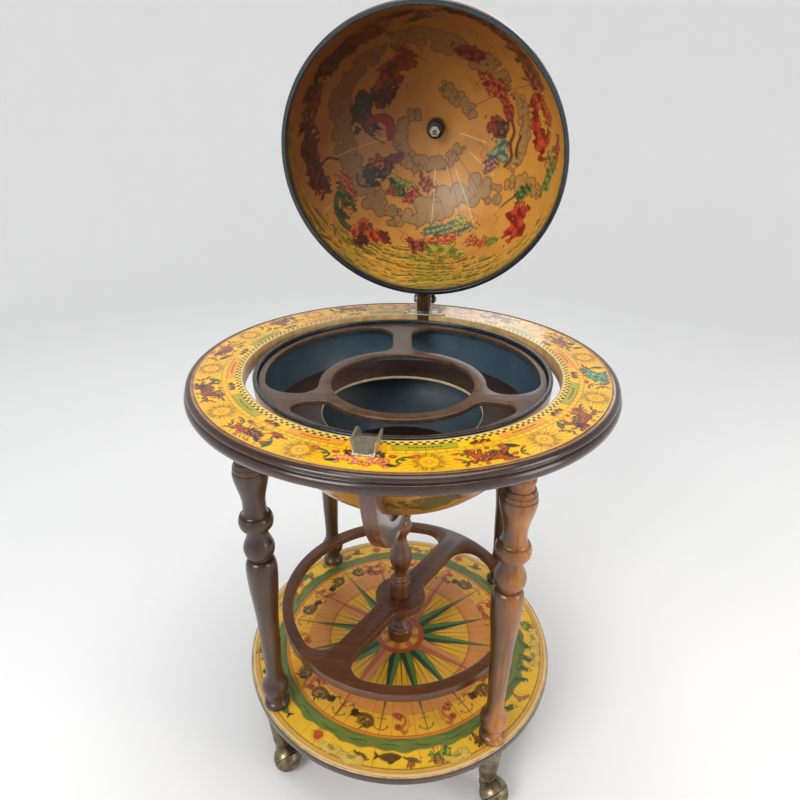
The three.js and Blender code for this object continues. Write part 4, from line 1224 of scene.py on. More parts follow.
def ring_figure(spot, kind, colour, k):
    if kind in ("bull", "goat", "ram", "lion"):
        beast(spot, colour, kind)
    elif kind == "lobster":
        lobster(spot.sub(0, 0, -6, 1.02), colour)
    elif kind == "crab":
        crab(spot, colour)
    elif kind == "fishes":
        spot.heap(13, 6, "#4f9a78", "#2c5a4a", 5, -2, 4, 12, rag=0.18, light="#9ac0a0")
        spot.heap(12, 5, "#58a080", "#2c5a4a", 8, 6, -6, -16, light="#b8c890")
    elif kind == "vase":
        vase(spot, colour)
        spot.heap(11, 5, colour, "#5a2410", 3, 8, 2, 40, light="#d88a4a")
    elif kind == "scales":
        scales(spot)
        spot.heap(9, 4, "#c2502c", "#7a2414", 9, 0, -4, light="#e8a060")
    elif kind == "bow":
        bow(spot)
        spot.heap(10, 5, "#a8402a", "#5a1c10", 4, -4, 0, 20)
    if kind != "fishes":
        # a second tone over the figure, and its shadow strokes
        spot.heap(7.0, 3.0, "#7a3216" if k % 2 else "#5a2410", "#2c100a", 11 + k, 2, -1.5, 10,
                  rag=0.28, edge=0.4, fold=1.8, light="#e88a3c")
        spot.heap(4.4, 2.4, "#8a2c14", "#3a140c", 31 + k, -6, 2.5, -20, rag=0.3, edge=0.4,
                  fold=1.6, light="#e8a04a")
        spot.heap(3.6, 2.0, DGREEN, INK, 51 + k, 9, 3.5, 30, rag=0.3, edge=0.4, fold=1.8)


def ring_foliage(spot, k):
    """Sprigs at the four corners of a figure, with buds, stars and strokes."""
    corners = ((-31, 6.5, 25, False, GREEN), (31, 7, -25, True, GREEN),
               (-27, -8.5, -12, False, "#3f6a1c"), (27, -9, 8, True, DGREEN))
    for j, (x, y, rot, flip, green) in enumerate(corners):
        if (k + j) % 4 == 3:
            leaf(spot, x, y, rot * 4, 1.25, green)
        else:
            corner_sprig(spot, x, y, rot, flip, 0.95, green)
    buds = ((-17, -12.5, BRED), (18, -13, "#c2401a"), (8, 13, BRED), (-12, 13, "#c2401a"),
            (0, -14, DRED))
    for x, y, colour in buds:
        bud(spot, x, y, x * 3, 0.85, colour)
    star4(spot, 20, 13.5, 2.4, DGREEN)
    star4(spot, -21, 13.0, 2.0, INK)
    spot.line([(-24, -13.5), (-17, -14.6), (-8, -13.4)], 1.0, INK)
    spot.line([(24, -13.8), (14, -14.8), (6, -13.2)], 1.0, INK)


def paint_ring(sheet):
    broad = space_noise(sheet.points, 3, 0.05, 4)
    fine = space_noise(sheet.points, 4, 0.25, 2)
    sheet.fill("#ffc400")
    sheet.shade(1 + 0.05 * broad + 0.03 * fine)
    sheet.blend(np.clip(0.25 + 0.5 * broad, 0, 0.5), "#f5ac08")
    ring_borders(sheet)
    ring_suns(sheet)
    ring_plates(sheet)
    for k, (kind, colour) in enumerate(RING_FIGURES):
        degrees = -60 + 30 * k
        if kind == "blossom":
            ring_blossom(sheet, degrees)
            continue
        figure = sheet.at(degrees, 254.5, scale=1.62, flip=bool(k % 2), size=30)
        ring_figure(figure, kind, colour, k)
        ring_foliage(sheet.at(degrees, 254.5, size=44), k)
    sheet.band(269.6, 270.3, "#6a3a12", 0.8)
    sheet.band(270.3, 271.2, "#ecd08a")
    sheet.ring(271.5, 0.6, "#8a5a24", 0.8)


# ------------------------------------------------------------------ the shelf's print
def rays(sheet, start, count, inner, tip, half_width, left, right, line=INK, line_alpha=0.85):
    """Two-tone pointed rays, half_width wide at the inner radius, with their tips at `tip`."""
    for k in range(count):
        off = sheet.angle_from(start + 360.0 / count * k)
        x = sheet.reach * np.sin(off)
        y = sheet.reach * np.cos(off)
        half = half_width * np.clip((tip - y) / (tip - inner), 0, 1)
        mask = sheet.cover(half - abs(x)) * (y > 0) * (np.cos(off) > 0)
        sheet.blend(mask * (x < 0), left)
        sheet.blend(mask * (x >= 0), right)
        edge = sheet.cover(0.35 - abs(abs(x) - half)) * (y > 0) * (y < tip)
        sheet.blend(edge * line_alpha, line)


def shelf_ground(sheet):
    broad = space_noise(sheet.points, 5, 0.03, 4)
    fine = space_noise(sheet.points, 6, 0.12, 3)
    sheet.fill("#e2ab1c")
    for low, high, colour in ((0, 120, "#e3ac26"), (120, 155, "#d78e42"), (155, 190, "#ecb02a"),
                              (210, 260, "#efbc2e")):
        sheet.band(low, high, colour)
    warm = (np.clip(0.5 + (sheet.reach - 128) / 30, 0, 1)
            * np.clip(0.5 + (178 - sheet.reach) / 14, 0, 1))
    sheet.blend(warm * np.clip(0.35 + 0.4 * broad, 0, 1) * 0.55, "#dd8a3a")
    sheet.shade(1 + 0.07 * broad + 0.04 * fine)


def shelf_compass(sheet):
    """Rays round a centre boss."""
    rays(sheet, 11.25, 32, 20, 119, 1.7, "#5a3c14", "#c07a30", line_alpha=0.6)
    rays(sheet, 5.6, 32, 20, 112, 1.1, "#6a3018", "#a85a28", line_alpha=0.5)
    rays(sheet, 0.0, 16, 41, 154, 10.2, "#24432e", "#557c34")
    rays(sheet, 67.5, 4, 41, 190, 11.6, "#bc6436", "#d98a50", "#8a3c1c")
    sheet.ring(119.6, 2.0, "#a03a28", 0.9)
    for reach in (123.5, 154.8):
        sheet.ring(reach, 0.7, "#a0522a", 0.55)
    for k in range(32):
        line = sheet.cover(0.35 - abs(sheet.angle_from(5.6 + 11.25 * k)) * sheet.reach)
        sheet.blend(line * (sheet.reach > 121) * (sheet.reach < 188) * 0.35, "#8a5a24")
    sheet.band(0, 41, "#cf7238")
    for k in range(8):
        wedge = sheet.cover((0.20 - abs(sheet.angle_from(22.5 + 45 * k))) * sheet.reach)
        sheet.blend(wedge * (sheet.reach < 33) * (sheet.reach > 15), "#dfae3c")
    sheet.band(33, 41, "#c8542c")
    for reach, width, colour in ((41, 1.3, "#6a2c1a"), (37.4, 0.9, "#7a3a20"),
                                 (33.6, 1.0, "#8a3a20"), (15, 1.4, "#5a2c14")):
        sheet.ring(reach, width, colour)


def shelf_sea(sheet):
    """A red double line, the green sea outside it with its strokes, and the outer limit."""
    sheet.ring(188.6, 1.4, "#b83a24")
    sheet.ring(191.0, 1.6, "#c8502a")
    shore = 192.2
    edge = 210.5 + 1.8 * np.sin(sheet.angle * 17) + 1.4 * np.sin(sheet.angle * 41 + 1)
    sea = sheet.between(shore, edge)
    sheet.blend(sea * 0.96, "#6a7c34")
    noise = space_noise(sheet.points, 8, 0.035, 3)
    sheet.blend(sea * np.clip(noise * 0.9 + 0.2, 0, 0.8), "#4a6a3a")
    # distance from the shore, width, colour, strength
    strokes = ((3.0, 1.5, "#2f4f33", 0.9), (7.2, 1.1, "#8a9440", 0.8),
               (11.0, 1.9, "#2c4a30", 0.9), (15.0, 1.2, "#3d6a44", 0.9))
    for off, width, colour, strength in strokes:
        wave = shore + off + 1.5 * np.sin(sheet.angle * (23 + off) + off) + noise
        broken = np.clip(0.6 + np.sin(sheet.angle * (13 + off * 1.3) + off * 2.1), 0, 1)
        mask = sheet.cover(width / 2 - abs(sheet.reach - wave))
        sheet.blend(sea * mask * broken * strength, colour)
    sheet.blend(sheet.cover(0.45 - abs(sheet.reach - edge)) * 0.7, "#2c3a1c")
    sheet.ring(237.2, 1.5, "#1d140a")
    sheet.band(238.4, 244.4, "#dba851")
    sheet.ring(241.4, 0.7, "#c07a30", 0.7)
    sheet.band(244.4, 252, "#e9cf98")


def shelf_creatures(sheet):
    """Anchors, scroll beasts and seahorses in the band inside the sea."""
    for k in range(16):
        anchor(sheet.at(-90 + 22.5 * k, 170, rot=180, size=18, scale=1.3), "#3f3410")
    for i, a in enumerate((-101, -124, 168, 146, -34, 56, 79, 10, -146, 100, 124, -12)):
        spot = sheet.at(a, 168, scale=1.5, flip=bool(i % 2), size=30)
        scroll_beast(spot, "#241808", "#7a5622")
        spot.heap(7.0, 4.2, "#8a6428", "#3a2410", 60 + i, 4, 3, 20, rag=0.28, fold=2.2,
                  edge=0.6, light="#c08a34")
        spot.heap(4.2, 3.2, "#4a3214", "#241808", 80 + i, -7, -2, -30, rag=0.25, fold=2.0,
                  edge=0.5)
    for i, a in enumerate((-79, -56, 121, -168, 34, 22, 68, 90, 157, -135, -22, 112)):
        spot = sheet.at(a, 166, scale=1.62, size=24, flip=bool(i % 2))
        rust = "#7a2c1a"
        seahorse(spot, "#d9693a", rust)
        spot.heap(4.6, 3.0, "#c2502c", "#8a2c1a", 30 + i, -5, -5, 20, rag=0.22, fold=1.9,
                  edge=0.6, light="#e89050")
        back = [(2, -8), (5, -3), (5.4, 3), (3, 8)]
        spot.line(back, 1.6, "#e8b040")
        spot.line(back, 0.5, rust)
        shell(spot.sub(-4.4, 5.0, 30, 0.62), "#d0583a", rust)


def shelf_outer_figures(sheet):
    """Suns, fishes, birds, heaps and clouds outside the sea. Places are (degrees, radius)."""
    for a, r in ((-113, 221), (68, 226), (-5, 226), (158, 224), (112, 222)):
        spot = sheet.at(a, r, size=18)
        sunburst(spot, 12, "#9c2c14", 24)
        spot.disc(0, 0, 6.4, "#cf4a2a", "#6e1f16", 0.7)
        spot.heap(3.6, 3.0, "#d8603a", "#8a2414", a + 200, fold=2.2, edge=0.1)
    fishes = ((-84.5, 220), (154, 228), (28, 224), (-150, 224), (98, 226), (-132, 226))
    for i, (a, r) in enumerate(fishes):
        spot = sheet.at(a, r, scale=1.25, flip=bool(i % 2), size=28)
        fish(spot, "#6a4c20" if i % 2 == 0 else "#4f7a4a", fin="#4a3414")
    for i, (a, r) in enumerate(((-76.5, 224), (58, 223), (122, 223), (-171, 223), (-95, 224))):
        spot = sheet.at(a, r, scale=1.1, flip=bool(i % 2), size=28)
        bird(spot, "#7a5626", wing="#a8622c")
    # degrees, radius, length, width
    islands = ((-66, 223.5, 17, 8.5), (82, 224, 16, 8), (14, 224, 14, 8), (-158, 224, 15, 8),
               (138, 224, 15, 8))
    for i, (a, r, length, width) in enumerate(islands):
        spot = sheet.at(a, r, size=34)
        spot.heap(length, width, "#7a8a2c", "#3d5a24", 90 + i, 0, -1, -8, rag=0.24, fold=3.0,
                  light="#b8b03c", bend=0.3)
        spot.heap(length * 0.5, width * 0.4, "#d0623a", "#8a3420", 95 + i, -2, width * 0.75, 18,
                  fold=2.6, light="#e89a54")
        for j in range(3):
            x = 6 * j
            stroke = [(-6 + x, -width), (-7 + x, -width - 4), (-4 + x, -width - 4.6)]
            spot.line(stroke, 1.3, "#b8502a")
    clouds = ((-106, 229), (-98, 231), (-2, 228), (8, 230), (40, 226), (134, 228), (172, 228),
              (-140, 230), (-60, 232))
    for i, (a, r) in enumerate(clouds):
        open_cloud(sheet.at(a, r, size=34), i)
        sheet.at(a, r - 2, size=20).heap(6, 2.6, "#a8a040", "#6a7a2c", 120 + i, rag=0.3,
                                         fold=2.4, edge=0.2, alpha=0.6)
    spot = sheet.at(-50.5, 222, size=24)
    spot.heap(6.0, 9.5, "#8a4a20", "#3a1c0c", 71, 0, 0, -18, rag=0.22, fold=2.6,
              light="#c8843a")
    spot.poly([(-5, 8), (-4, 12), (-1, 9)], "#5a2c14", INK, 0.6)
    dolphin(sheet.at(-24, 222, rot=70, scale=1.1, size=26), "#c9744a")
    sheet.at(-31, 218, size=20).heap(9, 4, "#3f6a3a", "#24432e", 72, 0, 0, 40, rag=0.3,
                                     fold=2.4, light="#7a9a4a")
    for i, a in enumerate((-16, -10, -4, 3)):
        sheet.at(a, 214, size=16).heap(9, 4.2, "#3a6a44", "#24432e", 130 + i, 0, 0, 60 + 20 * i,
                                       rag=0.34, fold=2.2, light="#6a8a44")
    heaps = ((150, 222), (164, 218), (-176, 220), (128, 220), (106, 230), (90, 220), (75, 218),
             (48, 222), (-162, 232))
    for i, (a, r) in enumerate(heaps):
        sheet.at(a, r, size=22).heap(10, 4.6, "#b8602c" if i % 2 else "#7a5a24", "#4a2c14",
                                     140 + i, 0, 0, 15 * (i - 4), rag=0.28, fold=2.6,
                                     light="#dca04a")


def paint_shelf(sheet):
    shelf_ground(sheet)
    shelf_compass(sheet)
    shelf_sea(sheet)
    shelf_creatures(sheet)
    shelf_outer_figures(sheet)


# ------------------------------------------------------------------ the sky inside the dome
# Sky places are (azimuth, angle from the pole) in degrees. With the lid open, azimuth -90 is at
# the top, 0 at the right, 90 at the bottom and 180 at the left.

# path of places, half width, fill, strength of the fill
SKY_CLOUDS = [
    ([(-146, 11), (-171, 16), (160, 19), (134, 20), (106, 18), (79, 17), (55, 16), (35, 15)],
     12.5, "#927048", 0.42),
    ([(-81, 19), (-61, 17), (-42, 18), (-21, 18)], 13.0, "#927048", 0.42),
    ([(-117, 47), (-136, 50), (-154, 51), (-173, 48), (168, 45), (155, 46), (140, 47),
      (127, 47), (112, 49)], 18.0, "#927048", 0.62),
    ([(112, 47), (100, 41), (88, 37), (71, 34), (52, 34), (49, 40), (38, 43)],
     22.0, "#a88858", 0.6),
    ([(-112, 50), (-97, 46), (-83, 43), (-72, 40), (-58, 41), (-45, 43), (-35, 44)],
     20.0, "#927048", 0.6),
    ([(-27, 47), (-13, 47), (4, 46), (20, 43)], 11.0, "#b88a4c", 0.5),
    ([(30, 46), (24, 52), (20, 58), (20, 66)], 13.0, "#c8903c", 0.5),
]

# azimuth, first and last angle from the pole
LIGHT_SEAMS = ((170.5, 25, 73), (151, 49, 81), (90.5, 19, 55), (62, 22, 50), (32.5, 20, 37),
               (12, 12, 26))
DARK_SEAMS = ((49.5, 16, 36), (-30.5, 21, 72), (70, 18, 50), (110.5, 69, 91), (71, 66, 91),
              (148, 20, 29), (150, 36, 47))

WINE, WINE2, PLUM = "#6a2420", "#3c1412", "#4a2024"

# Each place is (azimuth, angle from the pole, size, marks). A mark that starts with a list is a
# stroke: points, width, colour, taper. Any other is a heap: length, width, colour, dark folds,
# x, y, rotation, raggedness, fold spacing, light folds, fold slant, strength.
# Strokes and heaps may leave out their last columns.
SKY_UPPER_LEFT = [
    (-128, 34, 50, [
        (30, 15, "#8a3020", WINE2, 0, 0, 24, 0.26, 4.0, "#a84a28", 1.0),
        (15, 9, "#a23022", WINE2, 25, 9, 60, 0.3, 3.2)]),
    (-148, 30, 40, [(17, 9, WINE, WINE2, 0, 0, -35, 0.3, 3.4)]),
    (-161, 38, 50, [
        (24, 14, "#33372a", "#171c16", 0, 0, -30, 0.28, 4.2),
        (16, 9, PLUM, "#241014", -14, -12, 30, 0.24, 3.2, "#7a3a34")]),
]
SKY_FIGURES = [
    # left: a dark heap among green
    (148, 34, 50, [
        (25, 11, "#4a3a26", "#1e1610", 0, 0, 78, 0.3, 3.6, "#8a5a2c"),
        (12, 7, "#2f4030", "#16211a", -3, 16, 20, 0.3, 3.0),
        (11, 7, "#a85028", "#5a2010", 6, -2, 60, 0.28, 3.0, "#d0803c"),
        (13, 5, "#8a3c20", "#4a1c10", -3, -22, 80, 0.3, 2.8),
        ([(-8, 26), (2, 34), (12, 28)], 2.6, "#24301f")]),
    # a red heap and a green one
    (121, 34, 50, [
        (10, 9, "#b8402a", "#5a1c14", -15, 2, 30, 0.22, 2.4, "#d8743c", 0.2),
        (12, 7, "#3c5430", "#1e3020", 4, 1, -20, 0.26, 3.0, "#7a8a3c"),
        (14, 3.6, "#9a9a3c", "#5a6a24", 2, -9, 8, 0.3, 2.6, "#d0b850"),
        (6, 5, "#b8552c", "#6a2414", 10, 9, 70, 0.3, 2.2),
        ([(-6, 8), (0, 12), (8, 15)], 1.8, "#c8823c")]),
    (100, 27, 34, [(12, 8.5, "#a8442e", "#5a1c14", 0, 0, -16, 0.26, 2.2, "#c8703c", 0.1)]),
    # right: wine, red and green drapery
    (-64, 42, 40, [(19, 10, "#7a2a30", "#3c1418", 0, 0, 25, 0.3, 3.2, "#a84a44")]),
    (-37, 37, 44, [(22, 10, "#b04028", "#6a1c14", 0, 0, 20, 0.28, 3.0, "#d0683c")]),
    (-19, 38, 34, [(14, 7, "#b23a28", "#6a1c14", 0, 0, -14, 0.22, 2.8, "#d0603a")]),
    (-5, 31, 44, [
        (13, 11, "#6a3a2a", "#34180f", 0, 2, 0, 0.12, 3.4, "#9a5a40", 0.3),
        (8, 7, "#a83a2a", "#5a1c14", -1, -8, 0, 0.3, 2.6)]),
    (14, 34, 44, [(15, 11, "#6a8a6a", "#3a5a48", 0, 0, 20, 0.26, 3.2, "#a8b088", 0.2)]),
    (4, 38, 50, [
        ([(-24, 2), (-12, 6), (2, 2), (16, 8), (28, 4)], 4.4, "#7a4a2a"),
        ([(-24, 2), (-12, 6), (2, 2), (16, 8), (28, 4)], 0.9, INK),
        ([(-10, 16), (4, 12), (14, 16)], 3.4, "#5a3018")]),
    (28, 33, 30, [(10, 7, "#9a6a58", "#5a2c2c", 0, 0, 0, 0.3, 2.8, "#c8946a")]),
    (-12, 60, 60, [
        (33, 17, "#b8301c", "#6e1812", 0, 0, -4, 0.16, 4.2, "#d8552c", 0.2),
        (14, 6, "#e8a83c", "#b8702c", -4, 1, 6, 0.28, 2.8, "#f4c860"),
        (12, 5, "#c8702c", "#7a2c14", -14, 14, 40, 0.3, 2.6),
        ([(-34, -2), (-42, 4), (-44, 12), (-38, 16)], 2.2, "#5a2c14"),
        ([(-34, -2), (-44, -6), (-46, -14)], 2.2, "#5a2c14")]),
    (8, 69, 50, [(24, 9, "#6a8a34", "#34542c", 0, 0, 10, 0.24, 3.2, "#a8b050")]),
    (5, 66, 20, [(5, 5, "#e09a50", "#c8401c", 0, 0, 0, 0.1, 2.6)]),
    (-3, 74, 40, [(16, 6, "#a8502c", "#5a2414", 0, 0, 0, 0.26, 2.8, "#c87a3c")]),
    (26, 58, 44, [(14, 8, "#54702c", "#24401f", 0, 0, -30, 0.3, 2.6, "#a8a03c")]),
    (30, 54, 40, [([(-20, 8), (-6, 3), (10, -4), (22, -6)], 2.4, "#3f5a24")]),
    (38, 67, 50, [
        (22, 16, "#c02a1c", "#7a1612", 0, 0, 30, 0.26, 3.6, "#e0522c"),
        (8, 5, "#e0522c", "#8a1c14", -16, -10, 60, 0.26, 2.6)]),
    (60, 62, 44, [
        (17, 5.5, "#dc6430", "#8a2c18", 0, 0, -18, 0.26, 2.8, "#f0904a"),
        (8, 6, "#dc6430", "#6a2414", 12, -8, 40, 0.26, 2.6, "#f0a04a"),
        (8, 5, "#8a9a34", "#4f6a24", -14, 8, 10, 0.3, 2.6)]),
    # bottom: the large drapery group, with two long strokes below it
    (80, 50.5, 60, [(34, 8.5, "#7c8a5a", "#4a5a3c", 0, 0, -4, 0.2, 3.8, "#b8b07a", 1.3)]),
    (71, 48, 34, [(11, 9, "#a8a040", "#6a7a2c", 0, 0, 0, 0.22, 3.0, "#d8c050")]),
    (85, 55.5, 60, [(25, 7.5, "#dc6a3a", "#9a3018", 0, 0, 6, 0.18, 3.4, "#f09a58", 1.2)]),
    (97, 59, 44, [(15, 8, "#9a342c", "#541a18", 0, 0, -20, 0.28, 2.8, "#c05a44")]),
    (82, 63.5, 60, [(22, 18, "#a89c34", "#5a6a24", 0, 0, -10, 0.16, 3.6, "#dcc04c", 1.4)]),
    (80, 73, 60, [
        ([(-10, 14), (-6, 2), (-9, -10), (-4, -18)], 6.0, INK, 0.4),
        ([(-10, 14), (-6, 2), (-9, -10), (-4, -18)], 4.8, "#dc6430", 0.4),
        ([(12, 2), (13, -10), (11, -24)], 6.0, INK, 0.4),
        ([(12, 2), (13, -10), (11, -24)], 4.8, "#dc6430", 0.4)]),
    # lower left: arching green, red and yellow heaps
    (140, 62, 60, [
        ([(-26, -6), (-16, 12), (4, 16), (22, 6), (28, -8)], 10.0, INK, 0.3),
        ([(-26, -6), (-16, 12), (4, 16), (22, 6), (28, -8)], 8.0, "#4a6238", 0.3),
        (16, 10, "#4a5a2c", "#24361c", 18, -10, 20, 0.26, 3.2, "#8a8a34"),
        (15, 8, "#c8562c", "#7a2414", 26, -22, 10, 0.24, 2.8, "#e8843c")]),
    (129, 66, 60, [
        (13, 17, "#c85a30", "#6a2414", 2, 0, 10, 0.26, 3.0, "#e88a40"),
        (10, 8, "#5a2c18", "#2c140c", -4, 8, 30, 0.3, 2.4),
        (15, 8, "#c2401f", "#6a1c10", -16, -10, -10, 0.28, 2.8, "#e0702c")]),
    (132, 76, 60, [(26, 9, "#a8a02c", "#4f6a24", 0, 0, -8, 0.26, 2.8, "#e0c03c")]),
    (148, 63, 34, [(9, 6, "#3c4a24", "#1e2c16", -10, 6, 40, 0.32, 2.4)]),
    (117, 60, 34, [(10, 4.5, "#8a2c1c", "#4a140e", 0, 0, -30, 0.34, 2.4)]),
    # left edge
    (176, 69, 60, [
        (36, 15, "#5a2620", "#2a100e", 6, 0, 0, 0.26, 4.0, "#7a3c30"),
        (16, 10, "#6a2c24", "#30120f", -26, -8, -20, 0.3, 3.2)]),
    (164, 68, 44, [(16, 11, "#5a2a1c", "#2c120c", 0, 0, 30, 0.3, 3.2, "#8a4428")]),
    (172, 58, 40, [([(-6, -14), (0, 0), (-4, 16), (8, 22)], 3.2, "#5a2c1c")]),
    (-158, 68, 60, [
        (22, 12, "#7a3c24", "#401a10", 0, 0, -10, 0.26, 3.4, "#a85a34"),
        (9, 6, "#34241a", "#1c120c", 10, 14, 20, 0.3, 2.6),
        ([(-10, -10), (-22, -6), (-30, -14)], 5.0, "#6a3020", 0.3)]),
    (-132, 66, 64, [
        (36, 13, "#5a2620", "#2c1110", 0, 0, 0, 0.26, 3.8, "#7c3c2c"),
        (22, 10, "#844224", "#48200f", 26, -12, -24, 0.26, 3.4, "#a4582c")]),
    (-144, 72, 44, [(16, 6, "#33401f", "#1b2412", 0, 0, 10, 0.3, 2.8)]),
    # top edge and upper right
    (-101, 66, 44, [(22, 7, "#4a2a1c", "#2a160e", 0, 0, -14, 0.4, 3.0, None, 0.7, 0.85)]),
    (-95, 59, 40, [(13, 4, "#4a2a1c", "#2a160e", 0, 0, 20, 0.4, 2.6, None, 0.7, 0.85)]),
    (-76, 68, 50, [(28, 8, "#3c2218", "#22120c", 0, 0, 10, 0.36, 3.0, None, 0.7, 0.9)]),
    (-60, 68, 50, [(26, 8, "#5a2c22", "#301612", 0, 0, 0, 0.34, 3.0, "#7a4030")]),
    (-45, 67, 60, [(30, 13, "#7a3c28", "#401c12", 0, 0, 0, 0.26, 3.2, "#a4603a")]),
    (-34, 64, 44, [(18, 10, "#844430", "#4a1f16", 0, 0, 14, 0.26, 3.0, "#b0683c")]),
]
SKY_STROKES = ((-100, 36), (-70, 54), (150, 58), (62, 48), (140, 27), (22, 25), (-172, 58),
               (108, 56), (45, 52), (-57, 50), (-50, 55))

# height in the strokes' pattern, half width, colour, strength
LANDSCAPE_STROKES = (
    (0.0, 0.28, "#1f2210", 1.0), (0.55, 0.36, "#44602c", 1.0), (1.3, 0.30, "#edbc48", 0.9),
    (1.9, 0.26, "#26381c", 1.0), (2.5, 0.3, "#e08a34", 0.9),
)


def sky_ground(sheet, pole, azimuth):
    broad = space_noise(sheet.points, 11, 0.022, 5)
    fine = space_noise(sheet.points, 12, 0.09, 4)
    share = np.clip(0.5 + 0.5 * broad, 0, 1)[:, None]
    sheet.colours = lin("#b97c38") * (1 - share) + lin("#cd9347") * share
    # a warmer yellow towards the rim, strongest at the lower right: partly the print's own colour,
    # partly painted light on the lower right, where the light falls
    facing_light = np.cos((azimuth - 48) * D) * 0.55 * np.clip(pole / 40, 0, 1)
    sheet.blend(np.clip(facing_light + 0.30, 0, 1) * 0.8, "#e8a23e")
    sheet.blend(np.clip((fine - 0.25) * 1.6, 0, 1) * 0.22, "#8a5a26")


def cloud_bank(sheet, path, width, seed, fill, strength):
    """A bank of cloud along a path of places, drawn as overlapping puffs."""
    ink = "#241408"
    random = np.random.default_rng(seed)
    places = np.array(path, float)
    places[:, 0] = np.degrees(np.unwrap(np.radians(places[:, 0])))
    azimuth, pole = (smooth_curve(places, False, 6) * D).T
    line = np.stack([DOME_R * np.sin(pole) * np.cos(azimuth),
                     DOME_R * np.sin(pole) * np.sin(azimuth), DOME_R * np.cos(pole)], 1)
    length = np.r_[0, np.cumsum(np.linalg.norm(np.diff(line, axis=0), axis=1))]

    def place(along):
        return np.array([np.interp(along, length, line[:, j]) for j in range(3)])

    count = max(3, int(length[-1] / (width * 0.72)))
    centres, radii = [], []
    for k in range(count + 1):
        along = length[-1] * k / count
        centre = place(along)
        heading = place(min(along + 3, length[-1])) - place(max(along - 3, 0))
        across = np.cross(centre, heading)
        across /= np.linalg.norm(across)
        swell = 0.55 + 0.45 * math.sin(math.pi * (k + 0.5) / (count + 1)) ** 0.5
        for side in (-1, 0, 1):
            jitter = random.normal(size=3) * width * 0.17
            centres.append(centre + across * side * width * 0.60 * swell + jitter)
            radii.append(width * swell * (0.36 + 0.30 * random.random()))
    centres, radii = np.array(centres), np.array(radii)
    probes = centres[:: max(1, len(centres) // 14)]
    gaps = np.min([np.abs(sheet.points - probe).max(1) for probe in probes], axis=0)
    near = np.nonzero(gaps < width * 3.6)[0]
    if not len(near):
        return
    points = sheet.points[near]
    distance = np.full(len(near), 1e9)
    owner = np.zeros(len(near), int)
    for j, (centre, radius) in enumerate(zip(centres, radii)):
        gap = np.linalg.norm(points - centre, axis=1) - radius
        nearer = gap < distance
        distance = np.where(nearer, gap, distance)
        owner = np.where(nearer, j, owner)
    radius = radii[owner]
    inner = sheet.cover(-(distance + 0.6))
    sheet.blend(sheet.cover(-(distance - 0.6)) * 0.95, ink, near)
    sheet.blend(inner * 0.9, "#b58448", near)
    sheet.blend(inner * strength, fill, near)
    depth = np.clip(-distance / (radius + 1e-6), 0, 1)
    sheet.blend(np.clip((0.30 - depth) * 2.4, 0, 1) * (distance < -0.9) * 0.22, ink, near)
    # a curl inside every third puff
    curl = sheet.cover(0.35 - np.abs(distance + radius * 0.5)) * (distance < -1.4)
    curl = curl * ((owner * 7 + seed) % 3 == 0)
    offset = points - centres[owner]
    part = np.sin(np.arctan2(offset[:, 1], offset[:, 0]) + owner * 2.1) > 0.1
    sheet.blend(curl * part * 0.8, ink, near)


def sky_spot(sheet, azimuth, pole, size, rot=0.0):
    return sheet.at(azimuth, pole * D * DOME_R, rot, 1.36, False, size * 1.45)


def sky_marks(sheet, places, seeds):
    for azimuth, pole, size, marks in places:
        spot = sky_spot(sheet, azimuth, pole, size)
        for mark in marks:
            if isinstance(mark[0], list):
                points, width, colour, *taper = mark
                spot.line(points, width, colour, taper=taper[0] if taper else 0.0)
                continue
            keys = ("length", "width", "colour", "dark", "x", "y", "rot", "rag", "fold",
                    "light", "slant", "alpha")
            spot.heap(seed=next(seeds), **dict(zip(keys, mark)))


def sky_scarf(sheet):
    spot = sky_spot(sheet, -178, 28, 44)
    outline = [(-16, -10), (-6, -19), (8, -17), (16, -6), (15, 8), (8, 18), (1, 19), (6, 9),
               (7, -1), (2, -8), (-6, -9)]
    spot.poly(outline, "#a43022", INK, 0.9, hatch=(3.4, 0.4, 0.6))
    spot.line([(-18, -4), (-8, 10), (8, 20), (16, 18)], 1.5, "#3a1a10")


def sky_landscape(sheet, pole, azimuth):
    """Flowing strokes of yellow, green and dark at the rim, deepest at the bottom."""
    dip = np.exp(-(((azimuth - 97 + 180) % 360 - 180) / 46.0) ** 2)
    side = np.exp(-(((azimuth - 105 + 180) % 360 - 180) / 88.0) ** 2)
    top = (83 - 18.5 * dip - 3.5 * side + 1.6 * np.sin(sheet.angle * 9)
           + 1.0 * np.sin(sheet.angle * 23 + 1))
    inside = np.clip((pole - top) * 1.2, 0, 1) * np.clip(side * 3.0, 0, 1)
    broad = space_noise(sheet.points, 71, 0.05, 3)
    fine = space_noise(sheet.points, 72, 0.14, 3)
    before = sheet.colours.copy()
    sheet.blend(inside * 0.7, "#dba53c")
    sheet.blend(inside * np.clip(broad * 1.6, 0, 1) * 0.6, "#8a9434")
    level = (pole * 0.62 + 1.7 * broad + 0.55 * fine) % 3.0
    for height, half, colour, strength in LANDSCAPE_STROKES:
        wave = np.sin(sheet.angle * (21 + 8 * height) + 5 * fine + height * 3)
        broken = np.clip(0.85 + 1.2 * wave, 0, 1)
        mask = np.clip((half - abs(level - height - half)) * 5, 0, 1)
        sheet.blend(inside * mask * broken * strength, colour)
    # the figures stay on top of it
    contrast = np.linalg.norm(before - lin("#d8a038"), axis=1)
    keep = (np.clip(contrast * 3.0 - 0.9, 0, 1) * (pole < 77))[:, None]
    sheet.colours = sheet.colours * (1 - keep) + before * keep
    sheet.blend(np.clip((pole - 85.6) * 1.0, 0, 1) * 0.8, "#67704c")


